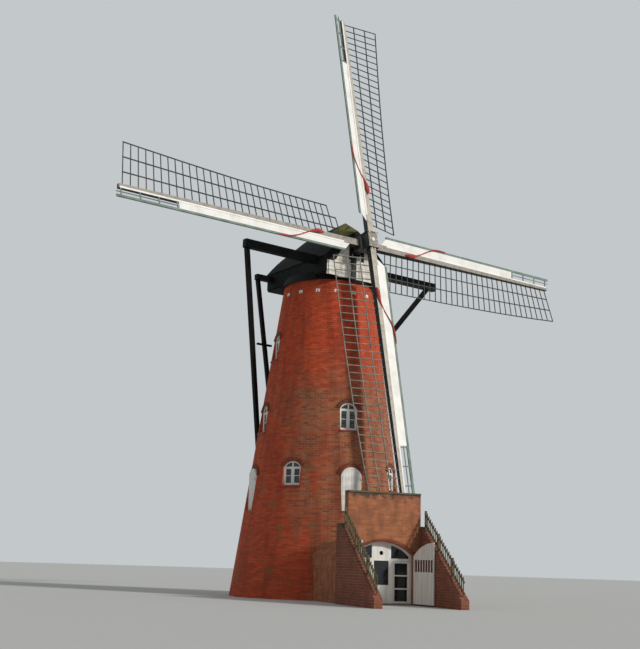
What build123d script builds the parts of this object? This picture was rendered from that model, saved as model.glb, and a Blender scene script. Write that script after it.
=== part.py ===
from build123d import *
import os
from math import atan2, cos, degrees, hypot, radians, sin, tan

# A round brick tower mill standing on one level: +Z up, origin on the ground at the
# tower's axis, the entrance facing -Y. All sizes are in millimetres.

# Tower shell
TOWER_HEIGHT = 15226
TOWER_BASE_RADIUS = 4362
TOWER_TOP_RADIUS = 2272
WALL_BASE_THICKNESS = 800
WALL_TOP_THICKNESS = 480
SIDES = 8
MOUND_LEVEL = 3960

# Openings in the tower: width, sill and springing heights, and the rise of the arch
GROUND_DOORWAY_WIDTH = 2000
GROUND_DOORWAY_SPRING = 1950
GROUND_DOORWAY_RISE = 400
GROUND_DOORWAY_CROWN = GROUND_DOORWAY_SPRING + GROUND_DOORWAY_RISE
MOUND_DOOR_WIDTH = 1000
MOUND_DOOR_SPRING = 5600
MOUND_DOOR_RISE = 350
MOUND_DOOR_CROWN = MOUND_DOOR_SPRING + MOUND_DOOR_RISE
LOW_WINDOW_WIDTH = 900
LOW_WINDOW_SILL = 5070
LOW_WINDOW_SPRING = 5900
LOW_WINDOW_RISE = 280
LOW_WINDOW_CROWN = LOW_WINDOW_SPRING + LOW_WINDOW_RISE
MID_WINDOW_WIDTH = 900
MID_WINDOW_SILL = 7710
MID_WINDOW_SPRING = 8700
MID_WINDOW_RISE = 310
MID_WINDOW_CROWN = MID_WINDOW_SPRING + MID_WINDOW_RISE
TOP_WINDOW_WIDTH = 800
TOP_WINDOW_SILL = 11350
TOP_WINDOW_SPRING = 12330
TOP_WINDOW_RISE = 250
TOP_WINDOW_CROWN = TOP_WINDOW_SPRING + TOP_WINDOW_RISE
WINDOW_RECESS = 40
JOINERY_WIDTH = 60
JOINERY_DEPTH = 100
PANE_THICKNESS = 8

# Floors
GROUND_SLAB = 60
FLOOR_THICKNESS = 200
MID_FLOOR_TOP = 6900
TOP_FLOOR_TOP = 10500

# Vents below the tower's rim
VENT_SIZE = 200
VENT_DROP = 606
VENT_DEPTH = 60
VENT_PROUD = 20
VENT_HOLE = 35

# Entrance passage, facade and wing walls
PASSAGE_WIDTH = 2780
PASSAGE_SPRING = 2018
PASSAGE_RISE = 552
PASSAGE_CROWN = PASSAGE_SPRING + PASSAGE_RISE
PASSAGE_WALL = 400
VAULT_THICKNESS = 250
FACADE_FRONT = 7450
FACADE_THICKNESS = 400
FACADE_WIDTH = 3330
FACADE_HEIGHT = 4560
COPING_HEIGHT = 70
COPING_FRONT_OVERHANG = 40
COPING_BACK_OVERHANG = 25
WING_THICKNESS = 350
WING_LENGTH = 3600
WING_TOP_HEIGHT = 3250
WING_LOW_HEIGHT = 350
SCREEN_SETBACK = 300
SCREEN_THICKNESS = 90
SCREEN_FRAME = 80
MULLION_OFFSET = 440
MULLION_WIDTH = 200
CENTRE_LIGHT_SILL = 800
TRANSOM_LOW = 1790
TRANSOM_HEIGHT = 100
LEAF_RAIL_WIDTH = 90
LIGHT_BAR_WIDTH = 54
LIGHTS_PER_LEAF = 3
FANLIGHT_DROP = 40
PORTHOLE_RADIUS = 90
PORTHOLE_RISE = 216

# Doors and hinges
LEAF_THICKNESS = 50
LEAF_CLEARANCE = 5
HINGE_OFFSET = 22
HINGE_FROM_SILL = 240
HINGE_FROM_TOP = 200
PIN_RADIUS = 9
PIN_CLEARANCE = 0.3
KNUCKLE_RADIUS = 16.5
KNUCKLE_LENGTH = 90
BRACKET_HEIGHT = 20
STRAP_HEIGHT = 50
STRAP_THICKNESS = 8
STRAP_LAP = 1
STRAP_SHARE = 0.7
SHORT_STRAP_SHARE = 0.3
OUTER_LEAF_OPEN = 101
LEAF_LIGHT_SILL = 1370
LEAF_LIGHT_HEIGHT = 490
LEAF_LIGHT_MARGIN = 70
UPPER_STRAP_RISE = 40

# Fence along the wing walls
FENCE_POST = 80
FENCE_HEIGHT = 780
FENCE_RAIL = 60
FENCE_RAIL_DEPTH = 40
LOW_RAIL_RISE = 210
HIGH_RAIL_RISE = 620
PALE_WIDTH = 60
PALE_THICKNESS = 20
PALE_SPACING = 150
PALE_RISE = 60
PALES_PER_POST = 8

# Curb and cap. Their heights are counted from the tower's rim, and the cap is turned about
# the tower's axis.
CAP_HEADING = 15.42
CURB_HEIGHT = 114
CURB_INNER = 1850
CURB_OUTER = 2200
SLIDE_GAP = 0.3
CAP_HALF_WIDTH = 1850
CAP_REAR = 2960
CAP_FRONT = 2275
CAP_FLOOR = 274
CAP_EAVE = 1074
CAP_BOARD = 50
SHEER_WIDTH = 260
SHEER_HEIGHT = 300
SHEER_LAP = 20
BEARER_HALF_LENGTH = 150
BEARING_HALF_WIDTH = 368
TAIL_BEARER_LENGTH = 260
BEAM_POST_WIDTH = 130
BEAM_POST_LENGTH = 240
SOFFIT_THICKNESS = 50
SKIRT_LOW = -46
SKIRT_TOP = 394
SKIRT_LOW_RADIUS = 2420
SKIRT_TOP_RADIUS = 2230
SKIRT_THICKNESS = 40

# Breast beam, front boards and the dark post that stands on the beam
BREAST_LOW = 104
BREAST_TOP = 814
BREAST_HALF = 1720
BREAST_PROUD = 60
FRONT_POST_OFFSET = -200
FRONT_POST_WIDTH = 330
FRONT_POST_THICKNESS = 60
FRONT_POST_TOP = 1310

# Roof: four cross sections, from the rear end to the front end
ROOF_THICKNESS = 110
ROOF_STEEPNESS = 1.4
ROOF_OVERHANG = 60
ROOF_FRONT_OVERHANG = 25
ROOF_STRIPS = 6
ROOF_BULGE = 0.32
REAR_RIDGE = 2894
BACK_RIDGE = 3204
BACK_RIDGE_PLACE = -2000
PEAK_RIDGE = 3334
PEAK_RIDGE_PLACE = 1300
HOOD_RIDGE = 2674

# Windshaft and poll end
SHAFT_TILT = 11.19
SHAFT_HEIGHT = 1217
SHAFT_RADIUS = 270
SHAFT_CLEARANCE = 80
NECK_RADIUS = 230
TAIL_JOURNAL_RADIUS = 150
NECK_PLACE = 1960
NECK_LENGTH = 260
TAIL_PLACE = -1950
TAIL_LENGTH = 220
POLL_START = 2640
POLL_END = 3660
POLL_WIDTH = 560
POLL_LENGTH = 860
POLL_DEPTH = 460
COLLAR_WIDTH = 640
COLLAR_LENGTH = 60
COLLAR_DEPTH = 540

# Stocks and sails
SAIL_RADIUS = 13250
SAIL_LEAN = 0.77
FRONT_STOCK_PLACE = 3412
BACK_STOCK_PLACE = 2894
STOCK_ROOT_WIDTH = 340
STOCK_ROOT_DEPTH = 300
STOCK_TIP_WIDTH = 200
STOCK_TIP_DEPTH = 170
STOCK_STRAIGHT = 1000
BOARD_START = 1004
BOARD_END = 10404
BOARD_WIDTH = 370
BOARD_THICKNESS = 30
BOARD_SETBACK = 15
BOARD_BEVEL = 350
BOARD_TILT = 11
EDGE_WIDTH = 120
EDGE_THICKNESS = 60
EDGE_END = 13380
POST_COUNT = 4
POST_START = 10450
POST_END = 13130
POST_SIZE = 45
THIN_LATH_PLACE = 190
THIN_LATH_WIDTH = 35
BAR_START = 980
BAR_END = 13050
BAR_COUNT = 33
BAR_SIZE = 36
BAR_REACH = 2100
FIRST_BAR_REACH = 1400
ROOT_TWIST = 12.5
TIP_TWIST = -6
LATH_COUNT = 3
LATH_WIDTH = 40
LATH_DEPTH = 48
LATH_STRETCHES = 8

# Rolled sail cloths
ROLL_START = 2550
ROLL_WIDTH = 650
ROLL_THICKNESS = 70
ROLL_OVERHANG = 40
ROLL_CROSSING = 3500
ROLL_EDGE = 4650
ROLL_END = 5650
ROLL_MIDDLE_SIZE = 110
ROLL_END_SIZE = 50

# Cross beams, braces and tail
LONG_BEAM_PLACE = 1387
LONG_BEAM_HALF = 6008
LONG_BEAM_WIDTH = 300
LONG_BEAM_DEPTH = 400
LONG_BEAM_HEIGHT = 984
LONG_BRACE_LEFT = 5858
LONG_BRACE_RIGHT = 5450
SHORT_BEAM_PLACE = -2500
SHORT_BEAM_HALF = 2860
SHORT_BEAM_SIZE = 280
SHORT_BEAM_HEIGHT = 754
SHORT_BRACE_END = 2740
BRACE_SIZE = 200
SHORT_BRACE_SIZE = 185
SHORT_BRACE_SHARE = 0.67
BRACE_FOOT_RISE = 250
CROSSBAR_SHARE = 0.42
CROSSBAR_LENGTH = 900
CROSSBAR_SIZE = 100
TAIL_SIZE = 320
TAIL_TOP_PLACE = -2800
TAIL_TOP_HEIGHT = 374
TAIL_FOOT_PLACE = -5600
TAIL_FOOT_HEIGHT = 4800

FAR = 9000
STANDING = (Align.CENTER, Align.CENTER, Align.MIN)


def tower_radius(z):
    return TOWER_BASE_RADIUS + (TOWER_TOP_RADIUS - TOWER_BASE_RADIUS) * z / TOWER_HEIGHT


def bore_radius(z):
    thickness = WALL_BASE_THICKNESS + (WALL_TOP_THICKNESS - WALL_BASE_THICKNESS) * z / TOWER_HEIGHT
    return tower_radius(z) - thickness


def slice_cone(radius_at, low, high):
    cone = Cone(radius_at(low), radius_at(high), high - low, align=STANDING)
    return Pos(0, 0, low) * cone


def heading_plane(angle, reach=0):
    """A vertical plane facing outwards at this heading, counted from -Y towards +X."""
    out = (sin(radians(angle)), -cos(radians(angle)), 0)
    across = (cos(radians(angle)), sin(radians(angle)), 0)
    return Plane(origin=(out[0] * reach, out[1] * reach, 0), x_dir=across, z_dir=out)


def arch_face(width, low, spring, crown):
    half = width / 2
    sides = Polyline((-half, spring), (-half, low), (half, low), (half, spring))
    arc = ThreePointArc((half, spring), (0, crown), (-half, spring))
    return make_face(sides + arc)


def arch_block(width, low, spring, crown, angle, inner, outer):
    plane = heading_plane(angle, inner)
    return extrude(plane * arch_face(width, low, spring, crown), outer - inner)


def slab_block(half, low, high, angle, inner, outer):
    face = Rectangle(2 * half, high - low, align=(Align.CENTER, Align.MIN))
    return extrude(heading_plane(angle, inner) * (Pos(0, low) * face), outer - inner)


def wedge(angle, low, high):
    half = 180 / SIDES
    points = [(0, 0)]
    for edge in (angle - half, angle + half):
        points.append((FAR * sin(radians(edge)), -FAR * cos(radians(edge))))
    return extrude(Pos(0, 0, low) * make_face(Polyline(*points, close=True)), high - low)


def solids_of(shape):
    return list(shape.solids())


def save(name, *shapes):
    found = [solid for shape in shapes for solid in solids_of(shape)]
    model = found[0] if len(found) == 1 else Compound(children=found)
    export_step(model, os.path.join("parts", name + ".step"))


# Openings

def door_opening(angle):
    return arch_block(MOUND_DOOR_WIDTH, MOUND_LEVEL, MOUND_DOOR_SPRING, MOUND_DOOR_CROWN, angle, 0, FAR)


def ground_opening():
    return arch_block(GROUND_DOORWAY_WIDTH, 0, GROUND_DOORWAY_SPRING, GROUND_DOORWAY_CROWN, 0, 0, FAR)


LOW_WINDOW = (LOW_WINDOW_WIDTH, LOW_WINDOW_SILL, LOW_WINDOW_SPRING, LOW_WINDOW_CROWN)
MID_WINDOW = (MID_WINDOW_WIDTH, MID_WINDOW_SILL, MID_WINDOW_SPRING, MID_WINDOW_CROWN)
TOP_WINDOW = (TOP_WINDOW_WIDTH, TOP_WINDOW_SILL, TOP_WINDOW_SPRING, TOP_WINDOW_CROWN)
MAIN_SIDES = {"front": 0, "right": 90, "back": 180, "left": 270}
DIAGONAL_SIDES = {"front_right": 45, "back_right": 135, "back_left": 225, "front_left": 315}
TOP_WINDOW_SIDES = ("right", "left")


def windows_of(side):
    if side in DIAGONAL_SIDES:
        return [LOW_WINDOW]
    if side in TOP_WINDOW_SIDES:
        return [MID_WINDOW, TOP_WINDOW]
    return [MID_WINDOW]


def vent_angles(angle):
    step = 90 / SIDES
    return [angle - step, angle + step]


def vent_block(angle):
    half = VENT_SIZE / 2
    middle = TOWER_HEIGHT - VENT_DROP
    face_at = tower_radius(middle + half)
    return slab_block(half, middle - half, middle + half, angle, face_at - VENT_DEPTH, face_at + VENT_PROUD)


def vent_hole(angle):
    hole = Pos(0, TOWER_HEIGHT - VENT_DROP) * Circle(VENT_HOLE)
    return extrude(heading_plane(angle) * hole, FAR)


# Tower walls

def ring(low, high):
    return slice_cone(tower_radius, low, high) - slice_cone(bore_radius, low, high)


def make_walls():
    base_ring = ring(0, MOUND_LEVEL)
    upper_ring = ring(MOUND_LEVEL, TOWER_HEIGHT)
    over = []
    base_main = []
    base_diagonal = []
    for side, angle in MAIN_SIDES.items():
        base = base_ring & wedge(angle, 0, MOUND_LEVEL)
        if side == "front":
            column = slab_block(GROUND_DOORWAY_WIDTH / 2, 0, MOUND_LEVEL, angle, 0, FAR)
            over += solids_of((base & column) - ground_opening())
            base = base - column
        base_main += solids_of(base)
        wall = upper_ring & wedge(angle, MOUND_LEVEL, TOWER_HEIGHT)
        for vent in vent_angles(angle):
            wall = wall - vent_block(vent)
        column = slab_block(MOUND_DOOR_WIDTH / 2, MOUND_LEVEL, TOWER_HEIGHT, angle, 0, FAR)
        infill = (wall & column) - door_opening(angle)
        for window in windows_of(side):
            opening = arch_block(*window, angle, 0, FAR)
            infill = infill - opening
        over += solids_of(infill)
        save(side + "_wall", wall - column)
    for side, angle in DIAGONAL_SIDES.items():
        base_diagonal += solids_of(base_ring & wedge(angle, 0, MOUND_LEVEL))
        wall = upper_ring & wedge(angle, MOUND_LEVEL, TOWER_HEIGHT)
        for vent in vent_angles(angle):
            wall = wall - vent_block(vent)
        for window in windows_of(side):
            wall = wall - arch_block(*window, angle, 0, FAR)
        save(side + "_wall", wall)
    save("base_walls_main", *base_main)
    save("base_walls_diagonal", *base_diagonal)
    save("wall_over_doors", *over)


def make_floors():
    save("ground_floor", slice_cone(bore_radius, 0, GROUND_SLAB))
    tops = (MOUND_LEVEL, MID_FLOOR_TOP, TOP_FLOOR_TOP)
    save("upper_floors", *[slice_cone(bore_radius, top - FLOOR_THICKNESS, top) for top in tops])


def window_parts(window, angle):
    width, sill, spring, crown = window
    front = tower_radius(crown) - WINDOW_RECESS
    outer = arch_block(*window, angle, front - JOINERY_DEPTH, front)
    inner_size = (width - 2 * JOINERY_WIDTH, sill + JOINERY_WIDTH, spring, crown - JOINERY_WIDTH)
    hole = arch_block(*inner_size, angle, front - JOINERY_DEPTH, front)
    middle = front - JOINERY_DEPTH / 2
    pane = arch_block(*inner_size, angle, middle - PANE_THICKNESS / 2, middle + PANE_THICKNESS / 2)
    return outer - hole, pane


def make_windows():
    frames = []
    panes = []
    for side, angle in {**MAIN_SIDES, **DIAGONAL_SIDES}.items():
        for window in windows_of(side):
            frame, pane = window_parts(window, angle)
            frames.append(frame)
            panes.append(pane)
    save("window_frames", *frames)
    save("window_panes", *panes)


def make_vents():
    vents = []
    for angle in list(MAIN_SIDES.values()) + list(DIAGONAL_SIDES.values()):
        vents += [vent_block(vent) - vent_hole(vent) for vent in vent_angles(angle)]
    save("vents", *vents)


# Hinges: a pin on a bracket, and the knuckle and strap of the leaf that turns on it

def hinge_pin(x, y, z, wall_y, side):
    """A pin standing on a bracket that is fixed to the face at wall_y."""
    pin_height = BRACKET_HEIGHT + SLIDE_GAP + KNUCKLE_LENGTH
    pin = Pos(x, y, z - BRACKET_HEIGHT) * Cylinder(PIN_RADIUS, pin_height, align=STANDING)
    reach = wall_y - (y - KNUCKLE_RADIUS)
    width = KNUCKLE_RADIUS + BRACKET_HEIGHT
    box = Box(width, reach, BRACKET_HEIGHT, align=(Align.CENTER, Align.MIN, Align.MAX))
    return pin + Pos(x + side * width / 2, y - KNUCKLE_RADIUS, z) * box


def hinge_knuckle(x, y, z, leaf_y, side, leaf_width):
    """The leaf's knuckle round the pin, with its strap along the leaf's outer face."""
    base = z + SLIDE_GAP
    knuckle = Cylinder(KNUCKLE_RADIUS, KNUCKLE_LENGTH, align=STANDING)
    length = leaf_width * STRAP_SHARE
    depth = STRAP_THICKNESS + STRAP_LAP
    strap = Box(length, depth, STRAP_HEIGHT, align=(Align.CENTER, Align.MAX, Align.CENTER))
    strap_x = x - side * length / 2
    middle = base + KNUCKLE_LENGTH / 2
    joined = Pos(x, y, base) * knuckle + Pos(strap_x, leaf_y, middle) * strap
    bore = Cylinder(PIN_RADIUS + PIN_CLEARANCE, KNUCKLE_LENGTH, align=STANDING)
    return joined - Pos(x, y, base) * bore


# Doors at mound level

def mound_door_face():
    return tower_radius(MOUND_DOOR_SPRING) + JOINERY_DEPTH / 2


def mound_frame(angle):
    face = mound_door_face()
    opening = (MOUND_DOOR_WIDTH, MOUND_LEVEL, MOUND_DOOR_SPRING, MOUND_DOOR_CROWN)
    outer = arch_block(*opening, angle, face - JOINERY_DEPTH, face)
    inner = (MOUND_DOOR_WIDTH - 2 * JOINERY_WIDTH, MOUND_LEVEL + JOINERY_WIDTH, MOUND_DOOR_SPRING,
             MOUND_DOOR_CROWN - JOINERY_WIDTH)
    return outer - arch_block(*inner, angle, face - JOINERY_DEPTH, face)


def mound_leaf():
    """The leaf of the front door, closed, facing -Y."""
    face = mound_door_face()
    gap = LEAF_CLEARANCE
    width = MOUND_DOOR_WIDTH - 2 * JOINERY_WIDTH - 2 * gap
    foot = MOUND_LEVEL + JOINERY_WIDTH + gap
    crown = MOUND_DOOR_CROWN - JOINERY_WIDTH - gap
    return arch_block(width, foot, MOUND_DOOR_SPRING, crown, 0, face - LEAF_THICKNESS, face), width


def mound_hinges():
    face = -mound_door_face()
    x = MOUND_DOOR_WIDTH / 2 - JOINERY_WIDTH
    y = face - HINGE_OFFSET
    heights = (MOUND_LEVEL + JOINERY_WIDTH + HINGE_FROM_SILL, MOUND_DOOR_SPRING - HINGE_FROM_TOP)
    return x, y, face, heights


def make_mound_doors():
    leaf, width = mound_leaf()
    x, y, face, heights = mound_hinges()
    pins = []
    for z in heights:
        leaf = leaf + hinge_knuckle(x, y, z, face, 1, width)
        pins.append(hinge_pin(x, y, z, face, 1))
    save("front_door", leaf)
    save("left_door", leaf.rotate(Axis.Z, 270))
    save("fixed_doors", leaf.rotate(Axis.Z, 90), leaf.rotate(Axis.Z, 180))
    save("door_frames", *[mound_frame(angle) for angle in MAIN_SIDES.values()])
    return [pin.rotate(Axis.Z, angle) for angle in MAIN_SIDES.values() for pin in pins]


# Entrance: passage, facade, wing walls, screen and outer leaves

def make_passage():
    cone = slice_cone(tower_radius, 0, MOUND_LEVEL)
    back = FACADE_FRONT - FACADE_THICKNESS
    half = PASSAGE_WIDTH / 2
    walls = []
    for side in (-1, 1):
        box = Box(PASSAGE_WALL, back, PASSAGE_SPRING, align=(Align.CENTER, Align.MAX, Align.MIN))
        walls += solids_of(Pos(side * (half + PASSAGE_WALL / 2), 0, 0) * box - cone)
    save("passage_walls", *walls)
    plane = heading_plane(0, 0)
    outer_width = PASSAGE_WIDTH + 2 * PASSAGE_WALL
    outside = arch_face(outer_width, 0, PASSAGE_SPRING, PASSAGE_CROWN + VAULT_THICKNESS)
    inside = arch_face(PASSAGE_WIDTH, 0, PASSAGE_SPRING, PASSAGE_CROWN)
    vault = extrude(plane * (outside - inside), back)
    above = Pos(0, 0, PASSAGE_SPRING) * Box(FAR, 2 * FAR, FAR, align=STANDING)
    save("passage_vault", (vault & above) - cone)
    floor = Box(PASSAGE_WIDTH, FACADE_FRONT, GROUND_SLAB, align=(Align.CENTER, Align.MAX, Align.MIN))
    inner_cone = slice_cone(bore_radius, 0, GROUND_SLAB)
    path = Box(GROUND_DOORWAY_WIDTH, FACADE_FRONT, GROUND_SLAB, align=(Align.CENTER, Align.MAX, Align.MIN))
    save("passage_floor", (floor - cone) + (path - inner_cone))


def make_facade():
    thickness = FACADE_THICKNESS
    back = FACADE_FRONT - thickness
    half = FACADE_WIDTH / 2
    jamb = half - PASSAGE_WIDTH / 2
    piers = []
    for side in (-1, 1):
        box = Box(jamb, thickness, PASSAGE_SPRING, align=(Align.CENTER, Align.MAX, Align.MIN))
        piers.append(Pos(side * (half - jamb / 2), -back, 0) * box)
    save("portal_piers", *piers)
    wall = slab_block(half, PASSAGE_SPRING, FACADE_HEIGHT, 0, back, FACADE_FRONT)
    opening = arch_block(PASSAGE_WIDTH, 0, PASSAGE_SPRING, PASSAGE_CROWN, 0, 0, FAR)
    save("portal_wall", wall - opening)
    rear = back - COPING_BACK_OVERHANG
    front = FACADE_FRONT + COPING_FRONT_OVERHANG
    save("portal_coping", slab_block(half, FACADE_HEIGHT, FACADE_HEIGHT + COPING_HEIGHT, 0, rear, front))


def wing_profile():
    """Outline of a wing wall seen from its side: distance from the tower's axis, and height."""
    end = FACADE_FRONT + WING_LENGTH
    back = FACADE_FRONT - FACADE_THICKNESS
    slope = [(end, WING_LOW_HEIGHT), (FACADE_FRONT, WING_TOP_HEIGHT)]
    return [(back, 0), (end, 0)] + slope + [(back, WING_TOP_HEIGHT)]


def make_wings():
    points = [(-reach, height) for reach, height in wing_profile()]
    face = make_face(Polyline(*points, close=True))
    walls = []
    for side in (-1, 1):
        inner = side * FACADE_WIDTH / 2
        plane = Plane(origin=(inner, 0, 0), x_dir=(0, 1, 0), z_dir=(1, 0, 0))
        walls.append(extrude(plane * face, side * WING_THICKNESS))
    save("wing_walls", *walls)


def make_fences():
    """Vertical pales on two sloping rails, standing on each wing wall's sloping top."""
    fall = WING_TOP_HEIGHT - WING_LOW_HEIGHT
    rise = fall / WING_LENGTH
    slope = degrees(atan2(fall, WING_LENGTH))
    run = hypot(WING_LENGTH, fall) - 2 * FENCE_POST
    middle = FACADE_FRONT + WING_LENGTH / 2
    fences = []
    for side in (-1, 1):
        x = side * (FACADE_WIDTH / 2 + WING_THICKNESS / 2)
        fence = None
        for lift in (LOW_RAIL_RISE, HIGH_RAIL_RISE):
            rail = Rot(slope, 0, 0) * Box(FENCE_RAIL_DEPTH, run, FENCE_RAIL)
            rail = Pos(x, -middle, WING_LOW_HEIGHT + fall / 2 + lift) * rail
            fence = rail if fence is None else fence + rail
        for index in range(1, int(WING_LENGTH // PALE_SPACING)):
            reach = FACADE_FRONT + index * PALE_SPACING
            ground = WING_TOP_HEIGHT - (reach - FACADE_FRONT) * rise
            is_post = index % PALES_PER_POST == 1
            width = FENCE_POST if is_post else PALE_WIDTH
            depth = FENCE_POST if is_post else PALE_THICKNESS
            low = ground - width * rise if is_post else ground + PALE_RISE
            pale = Box(depth, width, ground + FENCE_HEIGHT - low, align=STANDING)
            fence = fence + Pos(x, -reach, low) * pale
        fences += solids_of(fence)
    plane = Plane(origin=(0, 0, 0), x_dir=(0, 1, 0), z_dir=(1, 0, 0))
    points = [(-reach, height) for reach, height in wing_profile()]
    solid_wall = extrude(plane * make_face(Polyline(*points, close=True)), FAR, both=True)
    save("wing_fences", *[fence - solid_wall for fence in fences])


def light_face(left, right, low, high):
    return Pos((left + right) / 2, (low + high) / 2) * Rectangle(right - left, high - low)


def stacked_lights(left, right):
    """The lights of a leaf, one over another, within its stiles and rails."""
    low = GROUND_SLAB + LEAF_RAIL_WIDTH
    glazed = TRANSOM_LOW - LEAF_RAIL_WIDTH - low - (LIGHTS_PER_LEAF - 1) * LIGHT_BAR_WIDTH
    height = glazed / LIGHTS_PER_LEAF
    step = height + LIGHT_BAR_WIDTH
    bases = [low + index * step for index in range(LIGHTS_PER_LEAF)]
    return [light_face(left, right, base, base + height) for base in bases]


def make_screen():
    front = FACADE_FRONT - SCREEN_SETBACK
    plane = heading_plane(0, front - SCREEN_THICKNESS)
    half = PASSAGE_WIDTH / 2
    door_inner = MULLION_OFFSET + MULLION_WIDTH / 2
    door_outer = half - SCREEN_FRAME
    screen = arch_face(PASSAGE_WIDTH, GROUND_SLAB, PASSAGE_SPRING, PASSAGE_CROWN)
    screen = screen - light_face(door_inner, door_outer, GROUND_SLAB, TRANSOM_LOW)
    lights = stacked_lights(-door_outer + LEAF_RAIL_WIDTH, -door_inner - LEAF_RAIL_WIDTH)
    centre = MULLION_OFFSET - MULLION_WIDTH / 2
    lights.append(light_face(-centre, centre, CENTRE_LIGHT_SILL, TRANSOM_LOW))
    transom_top = TRANSOM_LOW + TRANSOM_HEIGHT
    fan_crown = PASSAGE_CROWN - SCREEN_FRAME
    fan = arch_face(PASSAGE_WIDTH - 3 * SCREEN_FRAME, 0, PASSAGE_SPRING - FANLIGHT_DROP, fan_crown)
    fan = fan & light_face(-half, half, transom_top, PASSAGE_CROWN)
    lights += (fan - light_face(-MULLION_OFFSET, MULLION_OFFSET, 0, PASSAGE_CROWN)).faces()
    porthole = Pos(0, transom_top + PORTHOLE_RISE) * Circle(PORTHOLE_RADIUS)
    for light in lights + [porthole]:
        screen = screen - light
    save("entrance_screen", extrude(plane * screen, SCREEN_THICKNESS))
    glass_plane = heading_plane(0, front - SCREEN_THICKNESS / 2 - PANE_THICKNESS / 2)
    save("entrance_panes", *[extrude(glass_plane * light, PANE_THICKNESS) for light in lights])

    gap = LEAF_CLEARANCE
    leaf = light_face(door_inner + gap, door_outer - gap, GROUND_SLAB + gap, TRANSOM_LOW - gap)
    panes = stacked_lights(door_inner + LEAF_RAIL_WIDTH, door_outer - LEAF_RAIL_WIDTH)
    for pane in panes:
        leaf = leaf - pane
    leaf_back = front - SCREEN_THICKNESS
    leaf_solid = extrude(heading_plane(0, leaf_back) * leaf, LEAF_THICKNESS)
    x = door_outer
    y = -leaf_back + HINGE_OFFSET
    strap = (door_outer - door_inner) * SHORT_STRAP_SHARE
    pins = []
    for z in (GROUND_SLAB + HINGE_FROM_SILL, TRANSOM_LOW - HINGE_FROM_SILL):
        mirrored = hinge_knuckle(x, -y, z, leaf_back, 1, strap)
        leaf_solid = leaf_solid + mirror(mirrored, Plane.XZ)
        pins.append(mirror(hinge_pin(x, -y, z, leaf_back, 1), Plane.XZ))
    save("glazed_door", leaf_solid)
    glass_at = leaf_back + LEAF_THICKNESS / 2 - PANE_THICKNESS / 2
    glass_plane = heading_plane(0, glass_at)
    save("glazed_door_panes", *[extrude(glass_plane * pane, PANE_THICKNESS) for pane in panes])
    return pins


def make_outer_leaves():
    half = PASSAGE_WIDTH / 2
    gap = LEAF_CLEARANCE
    width = PASSAGE_WIDTH - 2 * gap
    face = arch_face(width, GROUND_SLAB + gap, PASSAGE_SPRING - gap, PASSAGE_CROWN - gap)
    right_half = face & light_face(gap, half, 0, PASSAGE_CROWN)
    light_top = LEAF_LIGHT_SILL + LEAF_LIGHT_HEIGHT
    edge = gap + LEAF_LIGHT_MARGIN
    right_half = right_half - light_face(edge, half - edge, LEAF_LIGHT_SILL, light_top)
    plane = heading_plane(0, FACADE_FRONT - LEAF_THICKNESS)
    leaf = extrude(plane * right_half, LEAF_THICKNESS)
    x = half
    y = -FACADE_FRONT - HINGE_OFFSET
    pins = []
    for z in (GROUND_SLAB + HINGE_FROM_SILL, light_top + UPPER_STRAP_RISE):
        leaf = leaf + hinge_knuckle(x, y, z, -FACADE_FRONT, 1, half)
        pins.append(hinge_pin(x, y, z, -FACADE_FRONT, 1))
    turn = Axis((x, y, 0), (0, 0, 1))
    right = leaf.rotate(turn, OUTER_LEAF_OPEN)
    save("outer_leaf_right", right)
    save("outer_leaf_left", mirror(right, Plane.YZ))
    return pins + [mirror(pin, Plane.YZ) for pin in pins]


# Cap: built on the tower's rim facing -Y, then lifted and turned to its heading

def turned(shape):
    return (Pos(0, 0, TOWER_HEIGHT) * shape).rotate(Axis.Z, CAP_HEADING)


def save_cap(name, *shapes):
    save(name, *[turned(solid) for shape in shapes for solid in solids_of(shape)])


def cap_box(half_width, front, rear, low, high, centre=0):
    """A box in the cap: front and rear are distances ahead of the tower's axis."""
    box = Box(2 * half_width, front - rear, high - low, align=(Align.CENTER, Align.MAX, Align.MIN))
    return Pos(centre, -rear, low) * box


def pipe(outer, inner, low, high):
    height = high - low
    ring = Cylinder(outer, height, align=STANDING) - Cylinder(inner, height, align=STANDING)
    return Pos(0, 0, low) * ring


def shaft_height(place):
    return SHAFT_HEIGHT + place * tan(radians(SHAFT_TILT))


def shaft_plane(along=0):
    tilt = radians(SHAFT_TILT)
    out = (0, -cos(tilt), sin(tilt))
    origin = (0, out[1] * along, SHAFT_HEIGHT + out[2] * along)
    return Plane(origin=origin, x_dir=(1, 0, 0), z_dir=out)


def along_shaft(radius, start, end):
    return extrude(shaft_plane(start) * Circle(radius), end - start)


def slope_points(half, low, high):
    """Points of a slope from the ridge down to the eave, bulging slightly outwards."""
    points = []
    for index in range(ROOF_STRIPS + 1):
        share = index / ROOF_STRIPS
        lift = 1 - share + ROOF_BULGE * share * (1 - share)
        points.append((half * share, low + (high - low) * lift))
    return points


def roof_section(place, ridge, inset):
    half = CAP_HALF_WIDTH + ROOF_OVERHANG - inset
    eave = CAP_EAVE
    slope = slope_points(half, eave, ridge - inset * ROOF_STEEPNESS)
    left = [(-x, z) for x, z in reversed(slope[1:])]
    face = make_face(Polyline(*left, *slope, close=True))
    return Plane(origin=(0, -place, 0), x_dir=(1, 0, 0), z_dir=(0, -1, 0)) * face


def roof_loft(inset):
    stations = ((-CAP_REAR - ROOF_OVERHANG, REAR_RIDGE), (BACK_RIDGE_PLACE, BACK_RIDGE),
                (PEAK_RIDGE_PLACE, PEAK_RIDGE), (CAP_FRONT + ROOF_FRONT_OVERHANG, HOOD_RIDGE))
    return loft([roof_section(place, ridge, inset) for place, ridge in stations], ruled=True)


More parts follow.
